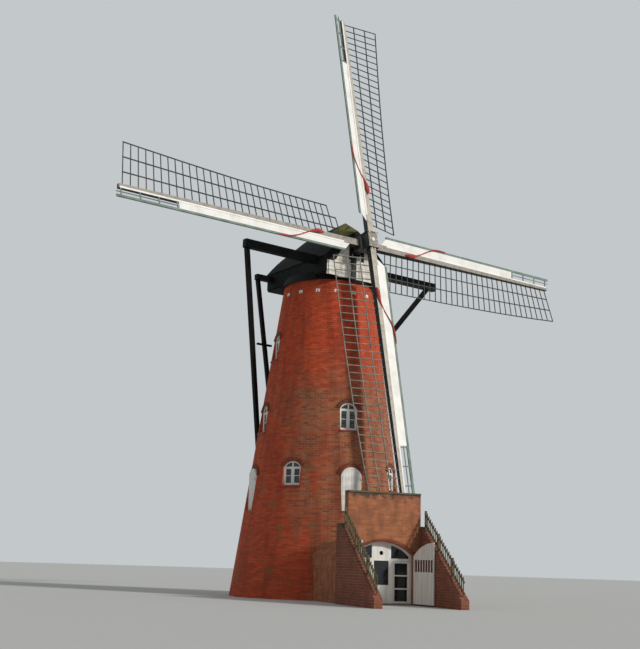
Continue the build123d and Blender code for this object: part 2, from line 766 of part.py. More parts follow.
def beam_boxes():
    half = LONG_BEAM_WIDTH / 2
    drop = LONG_BEAM_DEPTH / 2
    long_beam = cap_box(LONG_BEAM_HALF, LONG_BEAM_PLACE + half, LONG_BEAM_PLACE - half,
                        LONG_BEAM_HEIGHT - drop, LONG_BEAM_HEIGHT + drop)
    half = SHORT_BEAM_SIZE / 2
    short_beam = cap_box(SHORT_BEAM_HALF, SHORT_BEAM_PLACE + half, SHORT_BEAM_PLACE - half,
                         SHORT_BEAM_HEIGHT - half, SHORT_BEAM_HEIGHT + half)
    return long_beam, short_beam


def strut(start, end, size):
    """A square timber from start to end, each (x, y, z)."""
    first = Vector(*start)
    run = Vector(*end) - first
    plane = Plane(origin=first, x_dir=(1, 0, 0) if abs(run.X) < 1 else (0, 1, 0), z_dir=run.normalized())
    return extrude(plane * Rectangle(size, size), run.length)


def largest(shape):
    return max(solids_of(shape), key=lambda solid: solid.volume)


def cap_frame(long_beam, short_beam):
    """Turning ring, the two long sheers on it, and the bearers and blocks under the windshaft."""
    frame = pipe(CURB_OUTER, CURB_INNER, CURB_HEIGHT + SLIDE_GAP, CAP_FLOOR)
    sheer_top = CAP_FLOOR + SHEER_HEIGHT
    sheer_at = CAP_HALF_WIDTH - CAP_BOARD - SHEER_WIDTH / 2
    front = CAP_FRONT - CAP_BOARD
    rear = -CAP_REAR + CAP_BOARD
    for side in (-1, 1):
        low = CAP_FLOOR - SHEER_LAP
        frame = frame + cap_box(SHEER_WIDTH / 2, front, rear, low, sheer_top, side * sheer_at)
    for along in (NECK_PLACE, TAIL_PLACE):
        place = along * cos(radians(SHAFT_TILT))
        ahead = place + BEARER_HALF_LENGTH
        behind = place - BEARER_HALF_LENGTH
        frame = frame + cap_box(sheer_at, ahead, behind, CAP_FLOOR, sheer_top)
        frame = frame + cap_box(BEARING_HALF_WIDTH, ahead, behind, CAP_FLOOR, shaft_height(place))
    frame = frame + cap_box(sheer_at, rear + TAIL_BEARER_LENGTH, rear, CAP_FLOOR, sheer_top)
    for side in (-1, 1):
        post = cap_box(BEAM_POST_WIDTH / 2, LONG_BEAM_PLACE + BEAM_POST_LENGTH / 2,
                       LONG_BEAM_PLACE - BEAM_POST_LENGTH / 2, sheer_top,
                       LONG_BEAM_HEIGHT - LONG_BEAM_DEPTH / 2, side * sheer_at)
        frame = frame + post
    for radius, along, length in ((NECK_RADIUS, NECK_PLACE, NECK_LENGTH),
                                  (TAIL_JOURNAL_RADIUS, TAIL_PLACE, TAIL_LENGTH)):
        reach = length + BEARER_HALF_LENGTH
        frame = frame - along_shaft(radius + PIN_CLEARANCE, along - reach, along + reach)
    return frame - long_beam - short_beam


def make_cap():
    long_beam, short_beam = beam_boxes()
    save_cap("long_cross_beam", long_beam)
    save_cap("short_cross_beam", short_beam)
    save("curb_ring", Pos(0, 0, TOWER_HEIGHT) * pipe(CURB_OUTER, CURB_INNER, 0, CURB_HEIGHT))
    frame = cap_frame(long_beam, short_beam)
    save_cap("cap_frame", frame)

    outside = roof_loft(0)
    inside = roof_loft(ROOF_THICKNESS)
    save_cap("cap_roof", outside - inside - long_beam - short_beam)

    under_roof = inside + cap_box(CAP_HALF_WIDTH, FAR, -FAR, SKIRT_LOW, CAP_EAVE)
    side_at = CAP_HALF_WIDTH - CAP_BOARD / 2
    side_walls = []
    for side in (-1, 1):
        wall = cap_box(CAP_BOARD / 2, CAP_FRONT, -CAP_REAR, CAP_FLOOR, CAP_EAVE, side * side_at)
        side_walls += solids_of(wall - long_beam - short_beam)
    save_cap("cap_side_walls", *side_walls)

    tail_start = (0, -TAIL_TOP_PLACE, TAIL_TOP_HEIGHT)
    tail_end = (0, -TAIL_FOOT_PLACE, TAIL_FOOT_HEIGHT - TOWER_HEIGHT)
    whole_pole = strut(tail_start, tail_end, TAIL_SIZE)
    save_cap("tail_pole", largest(whole_pole - frame))

    inner_half = CAP_HALF_WIDTH - CAP_BOARD
    rear_wall = cap_box(inner_half, -CAP_REAR + CAP_BOARD, -CAP_REAR, CAP_FLOOR, FAR) & under_roof
    save_cap("cap_rear_wall", rear_wall - whole_pole - short_beam)
    front_wall = cap_box(inner_half, CAP_FRONT, CAP_FRONT - CAP_BOARD, BREAST_LOW, FAR) & under_roof
    shaft_hole = along_shaft(SHAFT_RADIUS + SHAFT_CLEARANCE, 0, POLL_START)
    post = cap_box(FRONT_POST_WIDTH / 2, CAP_FRONT + FRONT_POST_THICKNESS, CAP_FRONT, BREAST_LOW,
                   FRONT_POST_TOP, FRONT_POST_OFFSET)
    breast = cap_box(BREAST_HALF, CAP_FRONT + BREAST_PROUD, CAP_FRONT, BREAST_LOW, BREAST_TOP)
    save_cap("cap_front_boards", front_wall - shaft_hole)
    save_cap("breast_beam", breast - post)
    save_cap("cap_front_post", post)

    sheer_low = CAP_FLOOR - SHEER_LAP
    soffit = cap_box(inner_half, CAP_FRONT - CAP_BOARD, -CAP_REAR, sheer_low - SOFFIT_THICKNESS, sheer_low)
    ring_space = Cylinder(CURB_OUTER, CAP_FLOOR, align=STANDING)
    save_cap("cap_soffit", soffit - ring_space - whole_pole)

    height = SKIRT_TOP - SKIRT_LOW
    skirt = Cone(SKIRT_LOW_RADIUS, SKIRT_TOP_RADIUS, height, align=STANDING)
    low_inner = SKIRT_LOW_RADIUS - SKIRT_THICKNESS
    top_inner = SKIRT_TOP_RADIUS - SKIRT_THICKNESS
    skirt = skirt - Cone(low_inner, top_inner, height, align=STANDING)
    box_space = cap_box(CAP_HALF_WIDTH, CAP_FRONT, -CAP_REAR, -FAR, CAP_EAVE)
    breast_space = cap_box(BREAST_HALF, FAR, CAP_FRONT, BREAST_LOW, CAP_EAVE)
    save_cap("cap_skirt", Pos(0, 0, SKIRT_LOW) * skirt - box_space - breast_space - long_beam)
    make_braces(tail_start, tail_end, whole_pole, long_beam + short_beam)


def make_braces(tail_start, tail_end, whole_pole, beams):
    """Long braces run to the foot of the tail pole, short ones to its middle with a cross bar each."""
    braces = []
    meet = Vector(*tail_start) + (Vector(*tail_end) - Vector(*tail_start)) * SHORT_BRACE_SHARE
    foot = (0, tail_end[1], tail_end[2] + BRACE_FOOT_RISE)
    for side, long_end in ((-1, LONG_BRACE_LEFT), (1, LONG_BRACE_RIGHT)):
        top = (side * long_end, -LONG_BEAM_PLACE, LONG_BEAM_HEIGHT - LONG_BEAM_DEPTH / 2)
        braces.append(largest(strut(top, foot, BRACE_SIZE) - whole_pole - beams))
        top = Vector(side * SHORT_BRACE_END, -SHORT_BEAM_PLACE, SHORT_BEAM_HEIGHT - SHORT_BEAM_SIZE / 2)
        brace = largest(strut(tuple(top), tuple(meet), SHORT_BRACE_SIZE) - whole_pole - beams)
        bar_at = top + (meet - top) * CROSSBAR_SHARE
        braces.append(brace + Pos(*bar_at) * Box(CROSSBAR_LENGTH, CROSSBAR_SIZE, CROSSBAR_SIZE))
    save_cap("tail_braces", *braces)


# Rotor: built in a frame with x across, y up and z out along the windshaft

def save_rotor(name, *shapes):
    save(name, *[turned(shaft_plane() * solid) for shape in shapes for solid in solids_of(shape)])


def spun(shape, quarter):
    return shape.rotate(Axis.Z, 90 * quarter + SAIL_LEAN)


def taper_at(reach, root, tip):
    share = (reach - STOCK_STRAIGHT) / (SAIL_RADIUS - STOCK_STRAIGHT)
    return root + (tip - root) * share


def taper_face(root, tip):
    points = []
    for sx, sy in ((1, 1), (-1, 1), (-1, -1), (1, -1)):
        corner = (sx * tip / 2, sy * SAIL_RADIUS)
        shoulder = (sx * root / 2, sy * STOCK_STRAIGHT)
        points += [shoulder, corner] if sx == sy else [corner, shoulder]
    return make_face(Polyline(*points, close=True))


def stock(place, quarter):
    front = extrude(taper_face(STOCK_ROOT_WIDTH, STOCK_TIP_WIDTH), STOCK_ROOT_WIDTH, both=True)
    side_plane = Plane(origin=(0, 0, 0), x_dir=(0, 0, 1), z_dir=(-1, 0, 0))
    side = extrude(side_plane * taper_face(STOCK_ROOT_DEPTH, STOCK_TIP_DEPTH), STOCK_ROOT_WIDTH, both=True)
    return spun(Pos(0, 0, place) * (front & side), quarter)


def twist_at(reach):
    share = (reach - BAR_START) / (BAR_END - BAR_START)
    return ROOT_TWIST + (TIP_TWIST - ROOT_TWIST) * share ** 2


def lattice_point(reach, out):
    angle = radians(twist_at(reach))
    return Vector(out * cos(angle), reach, -out * sin(angle))


def lattice_arm(first_bar, first_reach):
    """Bars and lengthwise laths on the trailing side of the upper arm, twisted like a blade."""
    step = (BAR_END - BAR_START) / (BAR_COUNT - 1)
    start = BAR_START + first_bar * step
    parts = []
    for index in range(first_bar, BAR_COUNT):
        reach = BAR_START + index * step
        length = (first_reach if index == first_bar else BAR_REACH) + LATH_WIDTH / 2
        bar = Box(length, BAR_SIZE, BAR_SIZE, align=(Align.MIN, Align.CENTER, Align.CENTER))
        parts.append(Pos(0, reach, 0) * (Rot(0, twist_at(reach), 0) * bar))
    stretch = (BAR_END - start) / LATH_STRETCHES
    for line in range(1, LATH_COUNT + 1):
        out = BAR_REACH * line / LATH_COUNT
        for index in range(LATH_STRETCHES):
            low = start + index * stretch
            if index == 0 and out > first_reach:
                low = start + step
            first = lattice_point(low, out)
            last = lattice_point(start + (index + 1) * stretch, out)
            run = last - first
            middle_twist = radians(twist_at((first.Y + last.Y) / 2))
            across = Vector(cos(middle_twist), 0, -sin(middle_twist))
            normal = run.normalized()
            flat = (across - normal * across.dot(normal)).normalized()
            plane = Plane(origin=first - normal * (LATH_WIDTH / 2), x_dir=flat, z_dir=normal)
            parts.append(extrude(plane * Rectangle(LATH_WIDTH, LATH_DEPTH), run.length + LATH_WIDTH))
    return parts[0].fuse(*parts[1:])


def stock_edge(reach):
    """Where the boards' front face meets the stock's leading side."""
    return Vector(-taper_at(reach, STOCK_ROOT_WIDTH, STOCK_TIP_WIDTH) / 2, reach,
                  taper_at(reach, STOCK_ROOT_DEPTH, STOCK_TIP_DEPTH) / 2 - BOARD_SETBACK)


def strip_section(near, far, thickness, reach):
    """Section of a board whose front face leans forward from the stock's edge to its own."""
    across = Vector(-cos(radians(BOARD_TILT)), 0, sin(radians(BOARD_TILT)))
    back = Vector(-sin(radians(BOARD_TILT)), 0, -cos(radians(BOARD_TILT))) * thickness
    root = stock_edge(reach)
    first = root + across * near
    last = root + across * far
    corners = [tuple(corner) for corner in (first, last, last + back, first + back)]
    return make_face(Polyline(*corners, close=True))


def strip(near, far, thickness, low, high):
    return loft([strip_section(near, far, thickness, reach) for reach in (low, high)], ruled=True)


def wind_board(stock_arm):
    """Wind boards on the leading side of the upper arm, their inner end cut on a slant."""
    boards = strip(-BOARD_THICKNESS, BOARD_WIDTH, BOARD_THICKNESS, BOARD_START, BOARD_END)
    edge = -STOCK_ROOT_WIDTH / 2
    points = [(edge, BOARD_START), (edge - 2 * BOARD_WIDTH, BOARD_START + 2 * BOARD_BEVEL),
              (edge - 2 * BOARD_WIDTH, 0), (edge, 0)]
    slant = extrude(make_face(Polyline(*points, close=True)), STOCK_ROOT_WIDTH, both=True)
    return boards - stock_arm - slant


def edge_frame(stock_arm):
    """Leading edge lath, with the bare posts and thin lath past the end of the boards."""
    frame = strip(BOARD_WIDTH, BOARD_WIDTH + EDGE_WIDTH, EDGE_THICKNESS, BOARD_START + BOARD_BEVEL, EDGE_END)
    step = (POST_END - POST_START) / (POST_COUNT - 1)
    half = POST_SIZE / 2
    for index in range(POST_COUNT):
        reach = POST_START + half + index * step
        frame = frame + strip(-BOARD_THICKNESS, BOARD_WIDTH + half, POST_SIZE, reach - half, reach + half)
    thin = strip(THIN_LATH_PLACE, THIN_LATH_PLACE + THIN_LATH_WIDTH, THIN_LATH_WIDTH, BOARD_END, EDGE_END)
    return (frame + thin) - stock_arm


def rolled_sail(stock_arm):
    """A furled cloth on the stock's front, then across the boards and along their leading edge."""
    front_lift = taper_at(ROLL_START, STOCK_ROOT_DEPTH, STOCK_TIP_DEPTH) / 2 + SLIDE_GAP
    half = taper_at(ROLL_START, STOCK_ROOT_WIDTH, STOCK_TIP_WIDTH) / 2
    corner_at = (Align.MAX, Align.MIN, Align.MIN)
    bundle = Box(2 * half + ROLL_OVERHANG, ROLL_WIDTH, ROLL_THICKNESS, align=corner_at)
    bundle = Pos(half, ROLL_START, front_lift) * bundle
    across = Vector(-cos(radians(BOARD_TILT)), 0, sin(radians(BOARD_TILT)))
    edge = BOARD_WIDTH + EDGE_WIDTH
    points = [(0, ROLL_START + ROLL_MIDDLE_SIZE), (0, ROLL_CROSSING), (edge - ROLL_MIDDLE_SIZE, ROLL_EDGE),
              (edge - ROLL_END_SIZE, ROLL_END), (edge, ROLL_END), (edge, ROLL_EDGE - 2 * ROLL_MIDDLE_SIZE)]
    corners = [stock_edge(reach) + across * along for along, reach in points]
    normal = (stock_edge(BOARD_END) - stock_edge(BOARD_START)).cross(across).normalized()
    outline = Polyline(*[tuple(corner + normal * SLIDE_GAP) for corner in corners], close=True)
    band = extrude(make_face(outline), ROLL_END_SIZE, dir=tuple(normal))
    return bundle + (band - stock_arm)


def poll_end(front_stock, back_stock):
    """Two cast boxes for the stocks, one behind the other and crossed, on one core."""
    core = Box(POLL_WIDTH, POLL_WIDTH, POLL_END - POLL_START, align=STANDING)
    poll = Pos(0, 0, POLL_START) * core
    sleeve = Box(POLL_WIDTH, POLL_LENGTH, POLL_DEPTH)
    collar_at = (POLL_LENGTH - COLLAR_LENGTH) / 2
    for side in (-1, 1):
        sleeve = sleeve + Pos(0, side * collar_at, 0) * Box(COLLAR_WIDTH, COLLAR_LENGTH, COLLAR_DEPTH)
    poll = poll + Pos(0, 0, FRONT_STOCK_PLACE) * sleeve
    poll = poll + Pos(0, 0, BACK_STOCK_PLACE) * (Rot(0, 0, 90) * sleeve)
    return spun(poll, 0) - front_stock - back_stock


def make_shaft():
    steps = (
        (TAIL_JOURNAL_RADIUS, TAIL_PLACE - TAIL_LENGTH, TAIL_PLACE + TAIL_LENGTH),
        (SHAFT_RADIUS, TAIL_PLACE + TAIL_LENGTH, NECK_PLACE - NECK_LENGTH),
        (NECK_RADIUS, NECK_PLACE - NECK_LENGTH, NECK_PLACE + NECK_LENGTH),
        (SHAFT_RADIUS, NECK_PLACE + NECK_LENGTH, POLL_START))
    shaft = None
    for radius, start, end in steps:
        piece = Pos(0, 0, start) * Cylinder(radius, end - start, align=STANDING)
        shaft = piece if shaft is None else shaft + piece
    save_rotor("windshaft", shaft)


def make_rotor():
    front_stock = stock(FRONT_STOCK_PLACE, 0)
    back_stock = stock(BACK_STOCK_PLACE, 1)
    save_rotor("front_stock", front_stock)
    save_rotor("back_stock", back_stock)
    save_rotor("poll_end", poll_end(front_stock, back_stock))
    make_shaft()

    plain_stock = stock(0, 0).rotate(Axis.Z, -SAIL_LEAN)
    front_lattice = lattice_arm(0, BAR_REACH) - plain_stock
    back_lattice = lattice_arm(1, FIRST_BAR_REACH) - plain_stock
    shapes = {"wind_boards": wind_board(plain_stock), "edge_frames": edge_frame(plain_stock),
              "rolled_sails": rolled_sail(plain_stock)}
    gathered = {name: [] for name in shapes}
    for quarter, name in enumerate(("top", "left", "bottom", "right")):
        on_front = quarter % 2 == 0
        lattice = front_lattice if on_front else back_lattice
        move = Pos(0, 0, FRONT_STOCK_PLACE if on_front else BACK_STOCK_PLACE)
        save_rotor("lattice_" + name, spun(move * lattice, quarter))
        for kind, shape in shapes.items():
            gathered[kind].append(spun(move * shape, quarter))
    for kind, pieces in gathered.items():
        save_rotor(kind, *pieces)


os.makedirs("parts", exist_ok=True)
make_walls()
make_floors()
make_windows()
make_vents()
make_passage()
make_facade()
make_wings()
make_fences()
pins = make_mound_doors() + make_screen() + make_outer_leaves()
save("hinge_pins", *pins)
make_cap()
make_rotor()
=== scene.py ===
# %% [markdown]
# # A brick tower windmill, dressed around its solid model
#
# The solid model gives every timber, wall and sail its place. Here the same pieces get the
# finishes of a working mill: painted and weathered brick, tarred boards, mossy shingles,
# white wind boards and grey laths. What is too fine for the solids is added on top.

# %% Load the frame
import math

import bmesh
import bpy
from mathutils import Matrix, Vector


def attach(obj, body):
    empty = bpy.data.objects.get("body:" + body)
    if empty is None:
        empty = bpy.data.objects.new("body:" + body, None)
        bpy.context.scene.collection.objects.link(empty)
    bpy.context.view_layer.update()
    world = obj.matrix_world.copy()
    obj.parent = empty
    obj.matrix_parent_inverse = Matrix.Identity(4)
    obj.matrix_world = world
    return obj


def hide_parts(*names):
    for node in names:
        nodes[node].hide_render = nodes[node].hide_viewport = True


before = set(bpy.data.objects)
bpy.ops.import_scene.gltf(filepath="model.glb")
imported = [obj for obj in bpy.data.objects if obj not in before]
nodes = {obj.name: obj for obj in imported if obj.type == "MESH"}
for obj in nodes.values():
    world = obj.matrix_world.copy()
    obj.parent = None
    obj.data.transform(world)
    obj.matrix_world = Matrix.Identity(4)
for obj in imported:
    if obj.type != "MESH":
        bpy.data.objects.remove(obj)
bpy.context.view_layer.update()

# %% [markdown]
# ## Camera
#
# The view is from the approach to the entrance, at eye height, looking up. A camera's aim is
# three turns: heading, pitch and roll. Building its three axes as vectors keeps each turn
# plain to read, where Euler angles would mix them.

# %% Camera
IMAGE_WIDTH, IMAGE_HEIGHT = 640, 649
FOCAL_PIXELS = 1023.67
SENSOR_MM = 36.0
FARTHEST_SEEN = 500
CAMERA_PLACE = Vector((-17.982, -47.471, 1.548))
CAMERA_HEADING, CAMERA_PITCH, CAMERA_ROLL = 0.3544, 0.2304, 0.0300


def put_in_scene(name, data):
    """An object that shows this mesh, lamp or camera, linked to the scene."""
    made = bpy.data.objects.new(name, data)
    bpy.context.scene.collection.objects.link(made)
    return made


def make_camera():
    forward = Vector((math.cos(CAMERA_PITCH) * math.sin(CAMERA_HEADING),
                      math.cos(CAMERA_PITCH) * math.cos(CAMERA_HEADING), math.sin(CAMERA_PITCH)))
    level = Vector((math.cos(CAMERA_HEADING), -math.sin(CAMERA_HEADING), 0))
    above = level.cross(forward)
    right = level * math.cos(CAMERA_ROLL) + above * math.sin(CAMERA_ROLL)
    up = above * math.cos(CAMERA_ROLL) - level * math.sin(CAMERA_ROLL)
    data = bpy.data.cameras.new("camera")
    data.lens = FOCAL_PIXELS * SENSOR_MM / max(IMAGE_WIDTH, IMAGE_HEIGHT)
    data.sensor_width = SENSOR_MM
    data.clip_end = FARTHEST_SEEN
    camera = put_in_scene("camera", data)
    turn = Matrix((right, up, -forward)).transposed()
    camera.matrix_world = Matrix.Translation(CAMERA_PLACE) @ turn.to_4x4()
    bpy.context.scene.camera = camera
    return camera


camera = make_camera()
print("lens", round(camera.data.lens, 2), "mm at", tuple(camera.location))

# %% [markdown]
# ## Colours and nodes
#
# Colours are written as a paint chart gives them, in hex, and turned to the linear values that
# light is reckoned in. Materials could be drawn by hand in the node editor; building them in
# code keeps every number in sight, so one small function adds a node and joins it up.

# %% Colour, node and mesh helpers
def srgb(code):
    """An sRGB hex colour as the linear values that a shader wants."""
    parts = [int(code[index:index + 2], 16) / 255 for index in (1, 3, 5)]
    return tuple(p / 12.92 if p <= 0.04045 else ((p + 0.055) / 1.055) ** 2.4 for p in parts) + (1.0,)


def add(tree, kind, values=(), **settings):
    """One node: settings are its properties, values go to its inputs by name or number."""
    node = tree.nodes.new(kind)
    for name, value in settings.items():
        setattr(node, name, value)
    for name, value in dict(values).items():
        if isinstance(value, bpy.types.NodeSocket):
            tree.links.new(value, node.inputs[name])
        else:
            node.inputs[name].default_value = value
    return node


def blank_tree(owner):
    """The emptied node tree of a material or a world."""
    owner.use_nodes = True
    owner.node_tree.nodes.clear()
    return owner.node_tree


def blank_material(name):
    material = bpy.data.materials.new(name)
    return material, blank_tree(material)


def mesh_of(name, shape, material):
    """Turns a finished bmesh into a mesh of one material, and frees the bmesh."""
    mesh = bpy.data.meshes.new(name)
    shape.to_mesh(mesh)
    shape.free()
    mesh.materials.append(material)
    return mesh


print("middle grey as light:", round(srgb("#808080")[0], 3))

# %% [markdown]
# ## Light and floor
#
# The mill stands in low sun from the right. One wide sun lamp gives that side, and an
# even pale world fills the shade. World strength plus the sun's share stays near one, so that
# a colour renders about as it is written and white boards keep their streaks. What the camera
# sees behind the mill is a plain pale grey, against which white boards still stand out.

# %% World, sun and floor
BACKDROP_GREY, FILL_WHITE, SUN_WHITE, FLOOR_GREY = "#c3c8cb", "#f5f5f5", "#fffaf2", "#c9cccc"
WORLD_STRENGTH, SUN_STRENGTH = 0.34, 2.3
SUN_FROM, SUN_WIDTH = Vector((0.66, -0.78, 0.52)), math.radians(6)
FLOOR_RADIUS, FLOOR_SIDES = 220, 64


def make_world():
    world = bpy.data.worlds.new("pale_world")
    bpy.context.scene.world = world
    tree = blank_tree(world)
    rays = add(tree, "ShaderNodeLightPath").outputs
    seen = rays["Is Camera Ray"]
    for ray in ("Is Glossy Ray", "Is Transmission Ray"):
        seen = add(tree, "ShaderNodeMath", {0: seen, 1: rays[ray]}, operation="MAXIMUM").outputs[0]
    fill = add(tree, "ShaderNodeBackground", {"Color": srgb(FILL_WHITE), "Strength": WORLD_STRENGTH})
    view = add(tree, "ShaderNodeBackground", {"Color": srgb(BACKDROP_GREY), "Strength": 1.0})
    mixed = add(tree, "ShaderNodeMixShader", {0: seen, 1: fill.outputs[0], 2: view.outputs[0]})
    add(tree, "ShaderNodeOutputWorld", {"Surface": mixed.outputs[0]})


def make_sun():
    lamp = bpy.data.lights.new("studio_sun", "SUN")
    lamp.energy = SUN_STRENGTH
    lamp.angle = SUN_WIDTH
    lamp.color = srgb(SUN_WHITE)[:3]
    put_in_scene("studio_sun", lamp).rotation_euler = SUN_FROM.to_track_quat("Z", "Y").to_euler()


def make_floor():
    shape = bmesh.new()
    bmesh.ops.create_circle(shape, cap_ends=True, segments=FLOOR_SIDES, radius=FLOOR_RADIUS)
    # matt paper: no gloss, so only the mill's shadow lies on it
    paper, tree = blank_material("matt_floor_paper")
    shader = add(tree, "ShaderNodeBsdfPrincipled", {"Base Color": srgb(FLOOR_GREY), "Roughness": 0.9})
    add(tree, "ShaderNodeOutputMaterial", {"Surface": shader.outputs[0]})
    put_in_scene("studio_floor", mesh_of("studio_floor", shape, paper))


bpy.context.scene.view_settings.view_transform = "Standard"
make_world()
make_sun()
make_floor()
print("world", WORLD_STRENGTH, "sun", SUN_STRENGTH)

# %% [markdown]
# ## Where things stand
#
# Three frames of reference make every piece easy to place. A wall frame faces outwards at a
# heading round the tower. The cap frame sits on the rim, turned with the cap. The rotor
# frame lies along the tilted windshaft, and each sail is a quarter turn of it. Lengths are in
# metres and headings in degrees.

# %% Frames of reference
TOWER_HEIGHT, BASE_RADIUS, TOP_RADIUS = 15.226, 4.362, 2.272
CAP_HEADING = 15.42
SHAFT_RISE, SHAFT_TILT = 1.217, 11.19
SAIL_LEAN = 0.77
FRONT_STOCK, BACK_STOCK = 3.412, 2.894
STOCK_ROOT, STOCK_TIP = 1, 13.25


def tower_radius(z):
    return BASE_RADIUS + (TOP_RADIUS - BASE_RADIUS) * z / TOWER_HEIGHT


def facing(heading, reach=0.0, height=0.0):
    """Axes across, up and outwards, for a wall facing this way from the tower's axis."""
    turn = math.radians(heading)
    out = Vector((math.sin(turn), -math.cos(turn), 0))
    across = Vector((math.cos(turn), math.sin(turn), 0))
    basis = Matrix((across, Vector((0, 0, 1)), out)).transposed().to_4x4()
    return Matrix.Translation(out * reach + Vector((0, 0, height))) @ basis


CAP = facing(CAP_HEADING, 0, TOWER_HEIGHT)
SHAFT = CAP @ Matrix.Translation((0, SHAFT_RISE, 0)) @ Matrix.Rotation(math.radians(-SHAFT_TILT), 4, "X")


def arm(quarter):
    """The frame of one sail: x towards the lattice, y along the stock, z out of the disc."""
    place = FRONT_STOCK if quarter % 2 == 0 else BACK_STOCK
    lean = Matrix.Rotation(math.radians(90 * quarter + SAIL_LEAN), 4, "Z")
    return SHAFT @ Matrix.Translation((0, 0, place)) @ lean


for quarter in range(4):
    tip = arm(quarter) @ Vector((0, STOCK_TIP, 0))
    print("stock end", quarter, [round(value, 2) for value in tip])

# %% [markdown]
# ## Building pieces
#
# Each added piece is one mesh made of many small timbers, bricks or bolts. A small builder
# collects boxes, prisms and rods in whatever frame they are drawn in, and ends by bevelling
# the edges a little, because no sawn or laid edge is perfectly sharp.

# %% The piece builder
class Piece:
    def __init__(self, name, body, slot, material, bevel=0.0):
        self.name, self.body, self.slot, self.material, self.bevel = name, body, slot, material, bevel
        self.shape = bmesh.new()

    def hull(self, place, bottom, top):
        """A closed solid between two outlines with equally many corners."""
        low = [self.shape.verts.new(place @ Vector(corner)) for corner in bottom]
        high = [self.shape.verts.new(place @ Vector(corner)) for corner in top]
        self.shape.faces.new(low)
        self.shape.faces.new(reversed(high))
        for index in range(len(low)):
            after = (index + 1) % len(low)
            self.shape.faces.new((low[after], low[index], high[index], high[after]))

    def box(self, place, x, y, z):
        """A box from ranges of x, y and z in the frame given."""
        ring = ((x[0], y[0]), (x[1], y[0]), (x[1], y[1]), (x[0], y[1]))
        self.hull(place, [(u, v, z[0]) for u, v in ring], [(u, v, z[1]) for u, v in ring])

    def rod(self, place, start, end, radius, sides):
        """A round bar from start to end."""
        start, end = Vector(start), Vector(end)
        turn = (end - start).to_track_quat("Z", "Y").to_matrix()
        ring = []
        for index in range(sides):
            angle = 2 * math.pi * index / sides
            ring.append(turn @ Vector((radius * math.cos(angle), radius * math.sin(angle), 0)))
        self.hull(place, [start + corner for corner in ring], [end + corner for corner in ring])

    def done(self):
        bmesh.ops.recalc_face_normals(self.shape, faces=self.shape.faces)
        mesh = mesh_of(self.name, self.shape, self.material)
        made = put_in_scene(self.name, mesh)
        if self.bevel:
            edge = made.modifiers.new("worn edges", "BEVEL")
            edge.width, edge.segments, edge.limit_method = self.bevel, 1, "ANGLE"
        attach(made, self.body)
        print(self.name, "faces", len(mesh.polygons))


# %% [markdown]
# ## Helpers for finishes
#
# Every finish here is drawn from the surface's own coordinates. Soft patches of a real size
# give weather and dirt, straight seams at a real pitch give boards, and both also raise or
# lower the surface a little, so that light finds them.

# %% Patches, seams and the closing shader
def patches(tree, where, size_mm, low, high, stretch=(1, 1, 1), detail=5.0):
    """Soft random patches of a real size: 0 below low, 1 above high."""
    scaled = add(tree, "ShaderNodeMapping", {"Vector": where, "Scale": stretch})
    noise = add(tree, "ShaderNodeTexNoise", {
        "Vector": scaled.outputs[0], "Scale": 1000 / size_mm, "Detail": detail})
    return add(tree, "ShaderNodeMapRange", {0: noise.outputs[0], 1: low, 2: high}).outputs[0]


def seams(tree, along, pitch_mm, width_mm):
    """0 in the seams between boards laid at this pitch, 1 on the boards."""
    near = add(tree, "ShaderNodeMath", {0: along, 1: pitch_mm / 2000}, operation="PINGPONG").outputs[0]
    return add(tree, "ShaderNodeMapRange", {0: near, 1: width_mm / 4000, 2: width_mm / 2000}).outputs[0]


def close(tree, values, height, depth_mm):
    """Ends a material: relief from a height between 0 and 1, then the surface itself."""
    relief = add(tree, "ShaderNodeBump", {
        "Height": height, "Distance": depth_mm / 1000, "Strength": 1.0})
    surface = add(tree, "ShaderNodeBsdfPrincipled", {**values, "Normal": relief.outputs[0]})
    add(tree, "ShaderNodeOutputMaterial", {"Surface": surface.outputs[0]})


def dress(material, *names):
    for name in names:
        for slot in nodes[name].material_slots:
            slot.material = material
    print(material.name, "on", len(names), "solids")


# %% [markdown]
# ## Laying courses on a wall
#
# An unwrapped texture could carry a brick pattern round the mill; working out where a point
# lies along its wall needs no unwrapping. Round walls wrap the pattern by angle, with a whole
# number of bricks round. Flat ones take whichever way the wall runs. A real course would be
# one pixel high here, so courses are drawn 110 mm high.

# %% Courses round the tower and along flat walls
# coarser than life: a real course is 75 mm high, a real brick 220 mm long
COURSE, BRICK, BRICKS_ROUND = 0.11, 0.30, 69
WRAP_RADIUS = BRICKS_ROUND * BRICK / (2 * math.pi)
BOND = {"Scale": 1.0, "Mortar Size": 0.012, "Mortar Smooth": 0.3, "Brick Width": BRICK,
        "Row Height": COURSE}
BRICK_RELIEF_MM = 8
# a face looks along an axis when its normal has more than this share of it
LOOKS_ALONG = 0.7


def round_courses(tree, where):
    """The pattern's coordinates round the tower, and the x, y and z that they come from."""
    parts = add(tree, "ShaderNodeSeparateXYZ", {0: where}).outputs
    behind = add(tree, "ShaderNodeMath", {0: parts[1], 1: -1.0}, operation="MULTIPLY").outputs[0]
    turn = add(tree, "ShaderNodeMath", {0: parts[0], 1: behind}, operation="ARCTAN2").outputs[0]
    along = add(tree, "ShaderNodeMath", {0: turn, 1: WRAP_RADIUS}, operation="MULTIPLY").outputs[0]
    return add(tree, "ShaderNodeCombineXYZ", {0: along, 1: parts[2]}).outputs[0], parts


